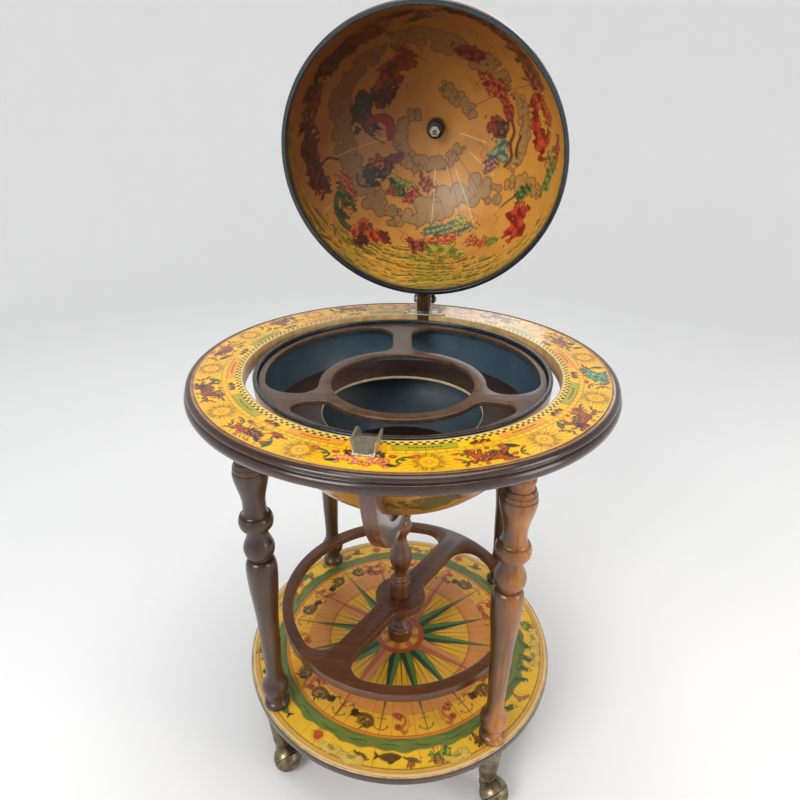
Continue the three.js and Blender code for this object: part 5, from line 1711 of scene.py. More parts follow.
def sky_varnish_and_shade(sheet, pole, azimuth):
    """Old varnish and painted shade, darkest towards the upper left and darker also at the top."""
    out = np.sin(pole * D)
    # painted shade, with darker old varnish, towards the upper left
    dark = np.clip(0.22 + 1.0 * np.cos((azimuth + 150) * D) * out, 0, 1)
    sheet.colours *= 1 - dark[:, None] * np.array([0.66, 0.76, 0.74])
    # painted shade, with darker old varnish, towards the top
    top = np.clip(np.cos((azimuth + 92) * D) * out, 0, 1)
    sheet.colours *= 1 - top[:, None] * np.array([0.30, 0.36, 0.36])
    sheet.shade(1 - 0.08 * np.clip(space_noise(sheet.points, 31, 0.015, 3), -1, 1))


def paint_sky(sheet):
    """Tan ground, banks of cloud, blowing drapery, and a landscape at the rim."""
    pole = sheet.reach / DOME_R / D
    azimuth = sheet.angle / D
    sky_ground(sheet, pole, azimuth)
    for i, (path, width, fill, strength) in enumerate(SKY_CLOUDS):
        cloud_bank(sheet, path, width, i + 1, fill, strength)
    for seams, colour in ((LIGHT_SEAMS, "#f0dcb0"), (DARK_SEAMS, "#3a2412")):
        for degrees, start, end in seams:
            line = sheet.cover(0.6 - abs(sheet.angle_from(degrees)) * sheet.radius)
            sheet.blend(line * (pole > start) * (pole < end) * 0.75, colour)
    sheet.ring(27 * D * DOME_R, 0.9, "#6e4820", 0.25)
    seeds = itertools.count(3)
    sky_marks(sheet, SKY_UPPER_LEFT, seeds)
    sky_scarf(sheet)
    sky_marks(sheet, SKY_FIGURES, seeds)
    for degrees, down in SKY_STROKES:
        spot = sky_spot(sheet, degrees, down, 24, rot=degrees)
        spot.line([(-9, -3), (-3, 3), (3, -1), (9, 4)], 1.0, "#5a3a1c", 0.7)
        spot.line([(-6, 5), (0, 8), (7, 6)], 0.8, "#5a3a1c", 0.6)
    sky_landscape(sheet, pole, azimuth)
    sky_varnish_and_shade(sheet, pole, azimuth)


# ------------------------------------------------------------------ the map outside bowl and dome
def paint_map(sheet):
    """An antique map: graticule, coast shapes, marks like place names, soft colour washes."""
    coast = space_noise(sheet.points, 41, 0.016, 5, 0.62)
    fine = space_noise(sheet.points, 42, 0.05, 3)
    sheet.fill("#ad7824")
    sheet.shade(1 + 0.06 * fine)
    wash = space_noise(sheet.points, 48, 0.03, 3)
    sheet.blend(np.clip(0.3 + 0.5 * wash, 0, 0.6), "#c07c22")
    land = coast - 0.12 + 0.10 * fine
    on_land = np.clip(land * 26, 0, 1)
    sheet.blend(on_land * 0.75, "#b8761f")
    for colour, seed in (("#6a6a2c", 43), ("#a8502c", 44), ("#4a4f22", 46)):
        patch = space_noise(sheet.points, seed, 0.022, 3)
        sheet.blend(np.clip((patch - 0.25) * 6, 0, 1) * on_land * 0.75, colour)
    sheet.blend(np.clip(1 - abs(land) * 60, 0, 1) * 0.85, "#3a2412")
    sheet.blend(np.clip(1 - abs(land + 0.035) * 60, 0, 1) * 0.4, "#7a5a2c")
    for k in range(36):
        off = abs(sheet.angle_from(k * 10)) * sheet.radius
        sheet.blend(sheet.cover(0.4 - off) * 0.5, "#5a3a1c")
    for k in range(1, 9):
        sheet.ring(k * 10 * D * SPHERE_R, 0.9, "#5a3a1c", 0.5)
    # a dark green land towards the front
    outline = [(-26, 26), (-22, 12), (-26, 2), (-14, -4), (-6, -12), (4, -8), (12, -2), (22, 2),
               (26, 12), (34, 20), (30, 30), (0, 32)]
    sheet.at(-68, 184, size=60).poly(outline, "#4a4a1e", "#241a0c", 1.6, hatch=(5.0, 0.4, 0.6),
                                     hatch_ink="#2c2c14")
    random = np.random.default_rng(5)
    for _ in range(30):
        # a string of small marks
        spot = sheet.at(random.uniform(-180, 180), random.uniform(100, 240),
                        random.uniform(-30, 30), size=16)
        for j in range(int(random.integers(3, 7))):
            spot.disc(-8 + 3.6 * j, random.normal(), 1.3, "#2c1a0c")
    for k in range(26):
        spot = sheet.at(-140 + 14 * k, 178 + 22 * math.sin(k * 1.3), random.uniform(-20, 20),
                        size=14)
        spot.heap(5.0, 3.0, "#7a4a1c", "#3a2410", 200 + k, rag=0.3, fold=3.6, edge=1.0)
    for k in range(14):
        spot = sheet.at(-160 + 26 * k, 196 + 40 * math.sin(k * 2.1), random.uniform(-30, 30),
                        size=60)
        colour = ("#6a4a1c", "#56561f", "#7a3a1c", "#8a6a24")[k % 4]
        spot.heap(26, 12, colour, "#2e2410", 240 + k, rag=0.3, fold=6.0, edge=1.4,
                  light="#b08a34")


def painted(name, rows, segments, paint, soft, body, material, reach, radius=None,
            back=None, centre_z=0.0, matrix=None, replaces=None):
    """A closed sheet of revolution with painted vertex colours.

    The first len(reach) of the (r, z) rows carry the drawing; the rest have the back colour.
    """
    rows = np.array(rows, float)
    count, drawn = len(rows), len(reach)
    angles = 2 * np.pi * np.arange(segments) / segments
    coords = np.empty((count, segments, 3))
    coords[:, :, 0] = rows[:, 0:1] * np.cos(angles)
    coords[:, :, 1] = rows[:, 0:1] * np.sin(angles)
    coords[:, :, 2] = rows[:, 1:2]
    i = np.arange(count)[:, None]
    j = np.arange(segments)[None, :]
    next_i, next_j = (i + 1) % count, (j + 1) % segments
    corners = [i * segments + j, i * segments + next_j, next_i * segments + next_j,
               next_i * segments + j]
    quads = np.stack(corners, -1).reshape(-1, 4)
    following = np.roll(rows, -1, axis=0)
    if np.sum(rows[:, 0] * following[:, 1] - following[:, 0] * rows[:, 1]) < 0:
        quads = quads[:, ::-1]
    mesh = bpy.data.meshes.new(name)
    mesh.vertices.add(count * segments)
    flat = (coords.reshape(-1, 3) * MM).astype(np.float32).ravel()
    mesh.vertices.foreach_set("co", flat)
    mesh.loops.add(quads.size)
    mesh.loops.foreach_set("vertex_index", quads.astype(np.int32).ravel())
    mesh.polygons.add(len(quads))
    mesh.polygons.foreach_set("loop_start", np.arange(0, quads.size, 4, dtype=np.int32))
    mesh.update(calc_edges=True)
    mesh.validate()
    wrapped = (np.tile(angles, drawn) + np.pi) % (2 * np.pi) - np.pi
    radius = rows[:drawn, 0] if radius is None else radius
    points = coords[:drawn].reshape(-1, 3) - np.array([0, 0, centre_z])
    sheet = Sheet(wrapped, np.repeat(reach, segments), np.repeat(radius, segments), soft, points)
    paint(sheet)
    colours = np.clip(sheet.colours, 0, 1)
    if back is not None:
        plain = np.tile(lin(back), ((count - drawn) * segments, 1))
        colours = np.vstack([colours, plain])
    layer = mesh.color_attributes.new(name="Col", type="FLOAT_COLOR", domain="POINT")
    colours = np.c_[colours, np.ones(len(colours))].astype(np.float32)
    layer.data.foreach_set("color", colours.ravel())
    dress(name, mesh, body, material, 50.0, matrix, replaces)


# ------------------------------------------------------------------ horizon ring
RING_TOP = 521.0
RING_IN = 211
SLOT_HALF = 9.3  # half width of the slots for the meridian arc
EDGING_ENDS = math.asin(9.4 / RING_IN) / D


def notched(radius, count, depth):
    """A circle with slots out to radius `depth` at the back (90) and the front (270)."""
    points = []
    half = math.asin(SLOT_HALF / radius) / D
    for middle, sign in ((90, 1), (270, -1)):
        points.append(polar(radius, (middle - half) * D))
        points += [(SLOT_HALF * sign, depth * sign), (-SLOT_HALF * sign, depth * sign)]
        steps = count // 2
        for i in range(steps):
            points.append(polar(radius, (middle + half + (180 - 2 * half) * i / steps) * D))
    return points


def sector(r0, r1, a0, a1, count):
    outer = [polar(r1, (a0 + (a1 - a0) * i / count) * D) for i in range(count + 1)]
    inner = [polar(r0, (a1 + (a0 - a1) * i / count) * D) for i in range(count + 1)]
    return outer + inner


# (r, z), with 1 at a sharp corner
MOULDING_PROFILE = [
    (272, 499, 1), (279.4, 499), (283.2, 500.8), (285, 504.6), (284.9, 508.6), (283.2, 511.8),
    (281, 513, 1), (280.7, 513.5), (281.4, 514.2, 1), (282.4, 515.4), (282.4, 517.4),
    (281.2, 519.4), (278.8, 520.6), (276.6, 520.9), (275.4, 520.6, 1), (274, 519.9),
    (272, 519.6, 1),
]


def horizon_board():
    plate("horizon_board", [circle(0, 0, 271.6, 256), notched(212.6, 200, 242.4)], 499.0, 520.55,
          0.35, "frame", BOARDWOOD, steps=2)


def horizon_edging():
    """Strips inside the board: left, right, and a low one across the front slot."""
    cut = EDGING_ENDS
    # side, start angle, end angle, bottom, bevel, steps
    strips = (("left", 90 + cut, 270 - cut, 500.0, 0.25, 110),
              ("right", -90 + cut, 90 - cut, 500.0, 0.25, 110),
              ("front", 270 - cut, 270 + cut, 519.9, 0.2, 8))
    for side, a0, a1, bottom, bevel, count in strips:
        plate("horizon_inner_edging_" + side, [sector(RING_IN - 0.15, 212.2, a0, a1, count)],
              bottom, RING_TOP, bevel, "frame", EDGE_WOOD,
              replaces="horizon_inner_edging", steps=1)


def horizon_print():
    rows = [(212.45, 520.70), (212.5, 520.95)]
    rows += [(r, RING_TOP) for r in np.linspace(212.9, 271.3, 60)]
    rows += [(271.65, 520.9), (271.65, 520.65)]
    painted("horizon_print", rows, 1536, paint_ring, 1.05, "frame", PRINT_RING,
            reach=np.array([r for r, z in rows]), replaces="horizon_paper")


def horizon_moulding():
    turned("horizon_moulding", spline(MOULDING_PROFILE, 0.8), "frame", MOULDING, 224)


# ------------------------------------------------------------------ legs, shelf, post
# (r, height above the shelf), with 1 at a sharp corner
LEG_PROFILE = [
    (0, 0.05, 1), (17, 0.05, 1), (18.4, 1.2), (19, 4.6), (18.2, 8.4), (16.2, 11, 1),
    (14.4, 12.6), (13.7, 16), (13.8, 20.5), (14.8, 25.5), (16.2, 29, 1), (18.4, 30.6),
    (19.8, 35), (20, 40.5), (19, 45.5), (16.6, 50.6), (14.2, 56), (12.8, 62), (12.2, 69),
    (12.2, 78), (12.8, 100), (13.9, 128), (15.3, 178), (17.4, 206), (19.3, 228), (20.4, 246),
    (20.8, 260), (20.4, 270), (18.6, 277.6), (15.6, 281.4, 1), (13.2, 282.4), (12.8, 285),
    (15.4, 288.2, 1), (18.6, 290.2), (20, 295.4), (20.4, 300.6), (19, 307), (16.2, 314),
    (14.2, 320.6), (13.5, 326.4), (14, 330.6, 1), (17.6, 331.4), (20.6, 334.6), (22.2, 341),
    (22, 346.4), (20, 351.6, 1), (17.4, 353), (15.6, 357), (14.9, 362.6), (14.6, 369),
    (15, 376), (16.6, 385), (19.2, 396), (21.4, 406), (22.3, 414), (21.9, 418.4, 1),
    (21.1, 418.9), (21.1, 420.1, 1), (21.4, 420.6), (20.8, 425.6, 1), (20, 426.1),
    (19.9, 427.3, 1), (19.8, 428), (18.4, 431.4, 1), (16.8, 432.2), (16.2, 436.4),
    (16.6, 440.4, 1), (17.6, 441), (17.9, 444), (17.4, 447, 1), (16, 448.2), (15.6, 454),
    (16, 462), (17, 472), (17.5, 482.7, 1), (0, 482.7),
]
# (r, z), with 1 at a sharp corner
SHELF_EDGING_PROFILE = [
    (247, 3.1, 1), (249.4, 3.1), (250.4, 4.4), (250.6, 8.5), (250.2, 12.9), (249.2, 15.2),
    (248.2, 16.1), (247, 16.1, 1),
]
POST_LOWER_PROFILE = [
    (6.4, 16.05, 1), (19.9, 16.05, 1), (20.6, 17), (20.7, 24), (20.6, 34.6), (19.8, 36.4, 1),
    (18.7, 37.6), (18.7, 39.8), (16.9, 43.4), (13.6, 46.2), (12.2, 48.6), (10.6, 52),
    (9.6, 56.5), (9.2, 62), (9.4, 68), (10.4, 80), (11.6, 88), (13, 93.9, 1), (6.4, 93.9, 1),
]
POST_UPPER_PROFILE = [
    (0, 138.2, 1), (6.4, 138.2, 1), (6.4, 108.05, 1), (16.2, 108.05, 1), (16.7, 109.2),
    (16.8, 124), (16.6, 138.2), (15.6, 142.4, 1), (13.2, 143.4), (12.2, 145.2, 1),
    (12.8, 146.2), (12.6, 147.8, 1), (10.8, 149), (10.3, 153.5), (10.9, 159), (12.9, 166),
    (15.9, 175), (17.9, 183), (18.1, 189.6), (16.6, 199), (13.2, 208.4), (10.2, 216.4),
    (8.9, 223), (9.4, 230, 1), (11.8, 233.4), (14.6, 240), (16.6, 246.4), (16.6, 252),
    (14.2, 259.2, 1), (12.7, 261.6), (12.9, 264.8), (15.4, 267.2, 1), (15.7, 269),
    (15.6, 274.6, 1), (0, 274.6),
]
TIE_BOLT_PROFILE = [
    (0, 0, 1), (12.8, 0, 1), (13.8, 0.5), (14, 1.2), (13.6, 2.8, 1), (6, 2.8, 1), (6, 136, 1),
    (0, 136),
]


def legs():
    profile = spline([(r, SHELF_TOP + h, *corner) for r, h, *corner in LEG_PROFILE], 2.0)
    for corner, angle in CORNERS.items():
        # painted light and shade: the lit front right leg gets the lighter walnut, the others the
        # darker copy
        material = LIT_WALNUT if corner == "front_right" else SHADED_WALNUT
        turned("leg_" + corner, profile, "frame", material, 72,
               at=polar(LEG_CIRCLE, angle * D))


def shelf_print(name, inner, outer, count, segments):
    flat = [(r, SHELF_TOP) for r in np.linspace(inner + 0.3, outer - 0.3, count)]
    rows = [(inner, 15.62), (inner + 0.02, 15.98), *flat, (outer - 0.02, 15.98), (outer, 15.62)]
    painted(name, rows, segments, paint_shelf, 1.3, "frame", PRINT_SHELF,
            reach=np.array([r for r, z in rows]), replaces="shelf_paper")


def shelf():
    turned("shelf_board", round_rect(6.4, 246.6, 3.0, 15.55, 0.6, 3), "frame", SHELFWOOD,
           192)
    shelf_print("shelf_print_outer", 122.0, 246.7, 78, 1200)
    shelf_print("shelf_print_inner", 6.6, 122.0, 84, 640)
    turned("shelf_edging", spline(SHELF_EDGING_PROFILE, 0.8), "frame", EDGING, 224)


def post():
    turned("post_lower", spline(POST_LOWER_PROFILE, 1.2), "frame", POSTWOOD, 72)
    turned("post_upper", spline(POST_UPPER_PROFILE, 1.1), "frame", POSTWOOD, 72)
    turned("post_tie_bolt", spline(TIE_BOLT_PROFILE, 1.5), "frame", STEEL, 48)


def bottle_ring():
    """A disc on the post with two D-shaped openings either side of a bar."""
    half_bar = 17.0
    bar = Line((0, half_bar), (0, 1))
    half_hole = opening([Circle(ORIGIN, 176), bar, Circle(ORIGIN, 41, outside=True), bar],
                        radii=[30, 26, 26, 30],
                        guesses=[(-138, 47), (-51, 43), (51, 43), (138, 47)])
    loops = [circle(0, 0, 193, 240), half_hole, [(-x, -y) for x, y in half_hole],
             circle(0, 0, 6.4, 32)]
    plate("bottle_ring", loops, 94.05, 107.95, 1.3, "frame", RINGWOOD,
          matrix=turn(64, "Z"))


# ------------------------------------------------------------------ lower arc and bowl pivot
LOWER_ARC_IN, LOWER_ARC_OUT = 208, 242
ARC_SCREW_Z = 508
PIVOT_Z = RIM_Z - SPHERE_R  # underside of the bowl


def arc_edges(inner, outer, centre_z, up, cut, count):
    """Outer and inner edges, in (y, z), of a half ring cut off at a height `cut`."""
    edges = []
    for radius in (outer, inner):
        end = math.asin(cut / radius)
        angles = [end + (math.pi - 2 * end) * i / count for i in range(count + 1)]
        edges.append([(radius * math.cos(a), centre_z + up * radius * math.sin(a))
                      for a in angles])
    return edges


def arc_plate(loop, thick):
    mesh = outline_mesh([loop], thick, 1.4)
    mesh.transform(YZ)
    weld(mesh, 2e-5, outward=False)
    return mesh


def lower_arc():
    outer, inner = arc_edges(LOWER_ARC_IN, LOWER_ARC_OUT, RIM_Z, -1, 0, 120)
    loop = [(LOWER_ARC_OUT, 520.3), *outer, (-LOWER_ARC_OUT, 519.5), (-LOWER_ARC_IN, 519.5),
            *inner[::-1], (LOWER_ARC_IN, 520.3)]
    holes = [rod((0, 0, 280), (0, 0, 330), 4.4)]
    for side in (1, -1):
        holes.append(rod((0, side * 200, ARC_SCREW_Z), (0, side * 252, ARC_SCREW_Z), 2.4, 16))
    mesh = combine([arc_plate(loop, 18.0), *holes], "DIFFERENCE")
    dress("lower_meridian_arc", mesh, "frame", ARCWOOD, merge=1e-6)


def arc_screws():
    profile = spline([(0, -0.6, 1), (2.4, -0.2), (4.1, 0.9, 1), (4.2, 1.5, 1), (2, 1.6, 1),
                      (2, 42, 1), (0, 44)], 0.6)
    for name, side in (("arc_screw_back", 1), ("arc_screw_front", -1)):
        slot = box((-0.45, 0.45), (-5, 5), (-2, 0.5))
        mesh = combine([turned_mesh(profile, 32), slot], "DIFFERENCE")
        place = shift(0, side * (LOWER_ARC_IN - 2.4), ARC_SCREW_Z) @ turn(-90 * side, "X")
        dress(name, mesh, "frame", NICKEL, matrix=place, merge=1e-6)


def bowl_pivot():
    turned("bowl_pivot_washer", round_rect(4.4, 12, PIVOT_Z - 7, PIVOT_Z - 0.3, 0.6), "frame",
           BRONZE, 48)
    profile = [(0, 290, 1), (4, 290, 1), (4, PIVOT_Z + 6.7, 1), (9.6, PIVOT_Z + 6.7, 1),
               (10, PIVOT_Z + 7.4), (9.2, PIVOT_Z + 10.6), (6, PIVOT_Z + 11.4),
               (0, PIVOT_Z + 11.5)]
    turned("bowl_pivot_bolt", spline(profile, 0.8), "frame", STEEL, 48)


# ------------------------------------------------------------------ bowl
RIM_CUT = 8.3  # distance from the sphere's centre to the edge of its inner face
# (r, z), with 1 at a sharp corner
BOWL_RIM_PROFILE = [
    (194, 509, 1), (194.2, 508.9, 1), (199.88, 514.12, 1), (199.96, 514.6), (199.9, 515.9),
    (199.2, 516.8), (198.2, 517), (195.8, 517), (194.6, 516.6), (194.05, 515.6),
    (194, 514.6, 1),
]
MID_DISC_PROFILE = [
    (113, 448.6, 1), (113.6, 448.1), (180.2, 448.1, 1), (182, 451.6, 1), (181.6, 452, 1),
    (114.4, 452, 1), (113.2, 451.2), (113, 450.4),
]
FLOOR_DISC_PROFILE = [(0, 358.1, 1), (110.2, 358.1, 1), (112.8, 361.4), (112.4, 362, 1), (0, 362)]


def sphere_rows(radius, centre_z, up, angles):
    """(r, z) rows of a sphere at angles off its pole."""
    return [(radius * math.sin(t), centre_z + up * radius * math.cos(t)) for t in angles]


def bowl_shell():
    inner_radius = 194.5
    angles = np.linspace(math.asin(4.8 / SPHERE_R), math.acos(3.0 / SPHERE_R), 150)
    inner = np.linspace(math.acos(RIM_CUT / inner_radius), math.asin(4.8 / SPHERE_R), 40)
    rows = (sphere_rows(SPHERE_R - 0.05, RIM_Z, -1, angles)
            + sphere_rows(inner_radius, RIM_Z, -1, inner))
    painted("bowl_shell", rows, 512, paint_map, 2.2, "bowl", PRINT_MAP,
            reach=angles * SPHERE_R, radius=SPHERE_R * np.sin(angles), back="#3a505e")


def bowl_fittings():
    turned("bowl_rim_band", spline(BOWL_RIM_PROFILE, 0.8), "bowl", RIM, 256)
    turned("bowl_tray_ledge", round_rect(187.6, 193.5, 500.5, 505.3, 0.8, 3), "bowl", SLATE,
           192)
    turned("bowl_mid_disc", spline(MID_DISC_PROFILE, 3.0), "bowl", DISC, 192)
    turned("bowl_mid_disc_edge", round_rect(112.15, 112.95, 448.2, 452.0, 0.2, 2), "bowl", CREAM,
           160, replaces="bowl_mid_disc")
    turned("bowl_floor_disc", spline(FLOOR_DISC_PROFILE, 3.0), "bowl", DISC, 160)


# ------------------------------------------------------------------ tray
HUB = (0, -39.0)  # centre of the tray's round hole


def arm_edge(angle, offset, sign, mirror=1):
    """A straight edge of a tray opening, `offset` from the hub's centre along its normal."""
    nx, ny = -math.sin(angle * D), math.cos(angle * D)
    return Line((sign * offset * nx * mirror, HUB[1] + sign * offset * ny),
                (sign * nx * mirror, sign * ny))


def unfold(loop):
    """Drop points where two neighbouring fillets overlap and the outline runs back on itself."""
    loop = list(loop)
    again = True
    while again:
        again = False
        for i in range(len(loop)):
            (px, py), (qx, qy), (rx, ry) = loop[i - 1], loop[i], loop[(i + 1) % len(loop)]
            if (qx - px) * (rx - qx) + (qy - py) * (ry - qy) < 0:
                del loop[i]
                again = True
                break
    return loop


def bottle_tray():
    """A round tray with a hub hole, an opening each side and one in front."""
    outer = Circle(ORIGIN, 184)
    hub = Circle(HUB, 109, outside=True)
    side = unfold(opening([outer, Line((14.5, 0), (1, 0)), hub, arm_edge(-14.5, -6, 1)],
                          radii=[40, 26, 26, 46],
                          guesses=[(27, 168), (26, 85), (118, -45), (140, -50)]))
    front = opening([outer, arm_edge(-10.7, 39.5, -1), hub, arm_edge(-10.7, 39.5, -1, -1)],
                    radii=[18, 18, 18, 18],
                    guesses=[(138, -112), (106, -108), (-106, -108), (-138, -112)])
    loops = [circle(0, 0, 193, 256), circle(*HUB, 93, 180), side,
             [(-x, y) for x, y in side][::-1], front]
    plate("bottle_tray", loops, 505.55, 512.0, 1.3, "tray", TRAY,
          matrix=turn(9.4, "Z"), steps=4)


# ------------------------------------------------------------------ lid, made closed then opened
UPPER_ARC_IN, UPPER_ARC_OUT = 207, 240
ARC_FOOT = 21.5  # the arc ends this far below the hinge pin
ARC_ROUND = 21.8  # radius of the foot's back corner about the pin
POLE_HOLE = 3.8


def above_dome(profile):
    """A profile whose heights are measured from the dome's centre."""
    return [(r, DOME_Z + h, *corner) for r, h, *corner in profile]


def upper_arc():
    foot_z = HINGE_Z - ARC_FOOT
    outer, inner = arc_edges(UPPER_ARC_IN, UPPER_ARC_OUT, DOME_Z, 1, foot_z - DOME_Z, 140)

    def replaced(y, z):
        """Whether an outer point gives way to the rounded corner."""
        gap = math.hypot(y - HINGE_Y, z - HINGE_Z)
        beyond = y > HINGE_Y and gap > ARC_ROUND
        within = y > 0 and gap < ARC_ROUND
        return z < HINGE_Z and (beyond or within)

    corner = [polar(ARC_ROUND, t * D, (HINGE_Y, HINGE_Z)) for t in np.linspace(-80, -18, 12)]
    corner = [(y, z) for y, z in corner
              if math.hypot(y, z - DOME_Z) < UPPER_ARC_OUT and z > foot_z]
    outer = [p for p in outer if not replaced(*p)]
    loop = inner[::-1] + [(inner[0][0] + 0.01, foot_z)] + corner + outer
    holes = [rod((-30, HINGE_Y, HINGE_Z), (30, HINGE_Y, HINGE_Z), 4.4),
             rod((0, 0, DOME_Z + 190), (0, 0, DOME_Z + 223), 3.4, 16)]
    mesh = combine([arc_plate(loop, 18.5), *holes], "DIFFERENCE")
    dress("upper_meridian_arc", mesh, "lid_arc", ARCWOOD, matrix=OPEN, merge=1e-6)


def pole_fittings():
    """Pin, spacer, bush and nut on the dome's axis."""
    pin = above_dome([(0, 159.5, 1), (2.2, 159.6), (3, 160.6, 1), (3, 222.4, 1), (0, 222.5)])
    turned("pole_pin", spline(pin, 2), "lid_arc", STEEL, 32, matrix=OPEN)
    spacer = round_rect(3.4, 11, DOME_Z + 200.4, DOME_Z + 205.9, 0.6)
    turned("pole_spacer", spacer, "lid_arc", BRONZE, 48, matrix=OPEN)
    bush = above_dome([(3.4, 173, 1), (11.6, 173, 1), (12.8, 173.6), (14, 176.5), (14.5, 184),
                       (14.5, 191.6, 1), (3.4, 192.4, 1)])
    turned("pole_bush", spline(bush, 1), "dome", BLACK, 64, matrix=OPEN)
    nut = hex_nut(DOME_Z + 166.5, DOME_Z + 172.6, 8.5, 3.3)
    dress("pole_nut", nut, "lid_arc", PALE, 30, OPEN, merge=1e-6)


def dome_print(name, start, end, count, segments, soft):
    angles = np.linspace(start, end, count)
    rows = sphere_rows(DOME_R, DOME_Z, 1, angles)
    rows += sphere_rows(DOME_R + 0.4, DOME_Z, 1, np.linspace(end, start, count // 9))
    painted(name, rows, segments, paint_sky, soft, "dome", PRINT_DOME,
            reach=angles * DOME_R, back="#a87838", centre_z=DOME_Z, matrix=OPEN,
            replaces="dome_shell")


def dome_shell():
    inner_radius = 194.45
    angles = np.linspace(math.asin(POLE_HOLE / SPHERE_R), math.acos(RIM_CUT / SPHERE_R), 140)
    inner = np.linspace(math.acos(RIM_CUT / inner_radius), math.asin(POLE_HOLE / inner_radius),
                        40)
    rows = sphere_rows(SPHERE_R, DOME_Z, 1, angles) + sphere_rows(inner_radius, DOME_Z, 1, inner)
    painted("dome_shell", rows, 512, paint_map, 2.2, "dome", PRINT_MAP,
            reach=angles * SPHERE_R, back="#8a6a3a", centre_z=DOME_Z, matrix=OPEN)


def dome():
    """The printed lining in two parts, the shell and the rim band."""
    split = 52 * D
    dome_print("dome_print_cap", math.asin(POLE_HOLE / DOME_R), split, 108, 824, 1.35)
    dome_print("dome_print_band", split, math.acos(8.4 / DOME_R), 90, 1000, 1.25)
    dome_shell()
    turned("dome_rim_band", round_rect(193.6, 200.0, DOME_Z + 0.05, DOME_Z + 8.0, 1.5, 5),
           "dome", RIM, 256, matrix=OPEN)


# ------------------------------------------------------------------ hinge bracket
BRACKET_Y = 222
PLATE_Z = 521.02  # underside of the metal plates on the ring


def hinge_bracket():
    """An oval plate with a tail, two ears for the bolt and an upright stop behind them."""
    oval = []
    for i in range(96):
        t = 2 * math.pi * i / 96
        cos, sin = math.cos(t), math.sin(t)
        oval.append((34.6 * math.copysign(abs(cos) ** 0.9, cos),
                     BRACKET_Y + 13.5 * math.copysign(abs(sin) ** 0.85, sin)))
    ear = [(HINGE_Y - 13, 522), (HINGE_Y + 13, 522)]
    ear += [polar(10.5, (-10 + 200 * i / 24) * D, (HINGE_Y, HINGE_Z)) for i in range(25)]
    stop = [(HINGE_Y + 17.6, 522.2), (HINGE_Y + 20.4, 522.2), (HINGE_Y + 20.8, HINGE_Z - 9.2),
            (HINGE_Y + 18.2, HINGE_Z - 10.4)]
    tail = [(-12.4, HINGE_Y + 4), (12.4, HINGE_Y + 4), (11.4, HINGE_Y + 20.4),
            (-11.4, HINGE_Y + 20.4)]
    mesh = combine([
        solid_plate(oval, PLATE_Z, 523.3, 0.7),
        solid_plate(tail, PLATE_Z, 523.3, 0.5),
        solid_plate(ear, -12.4, -10.2, 0.5, YZ),
        solid_plate(ear, 10.2, 12.4, 0.5, YZ),
        solid_plate(stop, -9, 9, 0.6, YZ),
    ])
    hole = rod((-30, HINGE_Y, HINGE_Z), (30, HINGE_Y, HINGE_Z), 4.3)
    mesh = combine([mesh, hole], "DIFFERENCE")
    dress("hinge_bracket", mesh, "frame", NICKEL, 34, merge=1e-6)


def hinge_bolt_and_nut():
    profile = spline([(0, -0.3, 1), (4.5, 0), (6.6, 1.2), (7, 2.4), (7, 4.4, 1), (4, 4.4, 1),
                      (4, 36.2, 1), (3.4, 37, 1), (0, 37)], 0.8)
    dress("hinge_bolt", turned_mesh(profile, 48), "frame", STEEL, 34,
          shift(-17.1, HINGE_Y, HINGE_Z) @ turn(90, "Y"))
    dress("hinge_nut", hex_nut(0, 4.6, 7.6, 4.3), "frame", DARK_NUT, 30,
          shift(12.8, HINGE_Y, HINGE_Z) @ turn(90, "Y"), merge=1e-6)


def hinge_screws():
    """Cross-slotted screws through the oval plate."""
    profile = spline([(0, 508, 1), (2, 510, 1), (2, 523.35, 1), (4.3, 523.35, 1), (4.3, 523.9),
                      (3.6, 524.9), (2, 525.5), (0, 525.7)], 0.6)
    for name, x, rot in (("hinge_screw_left", -27, 20), ("hinge_screw_right", 27, -35)):
        slots = [box((-0.45, 0.45), (-2.6, 2.6), (524.4, 527)),
                 box((-2.6, 2.6), (-0.45, 0.45), (524.4, 527))]
        mesh = combine([turned_mesh(profile, 40), *slots], "DIFFERENCE")
        dress(name, mesh, "frame", NICKEL, 34, shift(x, BRACKET_Y) @ turn(rot, "Z"),
              merge=1e-6)


# ------------------------------------------------------------------ latch clip
def rough_edge(points, amount, random):
    """An outline with a point each 2.4 mm or so, moved at random."""
    out = []
    for i in range(len(points)):
        start, end = np.array(points[i]), np.array(points[(i + 1) % len(points)])
        count = max(1, int(np.linalg.norm(end - start) / 2.4))
        for j in range(count):
            jitter = random.normal(size=2) * amount * (1 if j else 0.4)
            out.append(tuple(start + (end - start) * j / count + jitter))
    return out


def latch_clip():
    """A plate at the front of the ring with two ears that lean inward."""
    random = np.random.default_rng(3)
    base = [(-11.9, -247.4), (11.9, -247.4), (11.9, -208), (-11.9, -208)]
    ear = [(-244.4, 521.6), (-208, 521.6)]
    ear += [polar(11, t * D, (-219, 526.6)) for t in range(8, 91, 12)]
    ear += [(-219, 537.6), (-247, 537.6), (-246.4, 534), (-244.4, 530.5)]
    plate_top = 522.9
    lean = 2.3 / 14.7
    parts = [solid_plate(rough_edge(base, 0.10, random), PLATE_Z, plate_top, 0.4)]
    # with k as the lean in x per unit of z, the left ear's is negative in its own sense
    for x0, x1, k in ((-11.9, -9.9, -lean), (9.9, 11.9, lean)):
        side = solid_plate(rough_edge(ear, 0.18, random), x0, x1, 0.4, YZ)
        side.transform(Matrix(((1, 0, k, -k * plate_top * MM), (0, 1, 0, 0), (0, 0, 1, 0),
                               (0, 0, 0, 1))))
        parts.append(side)
    dress("latch_clip", combine(parts), "frame", NICKEL, 34, merge=1e-6)


def clip_nails():
    profile = spline([(0, 510, 1), (1.1, 512, 1), (1.1, 522.95, 1), (2.6, 522.95, 1),
                      (2.5, 523.4), (1.7, 524), (0, 524.2)], 0.4)
    for name, x in (("clip_nail_left", -7), ("clip_nail_right", 7)):
        turned(name, profile, "frame", STEEL, 28, at=(x, -244.5))


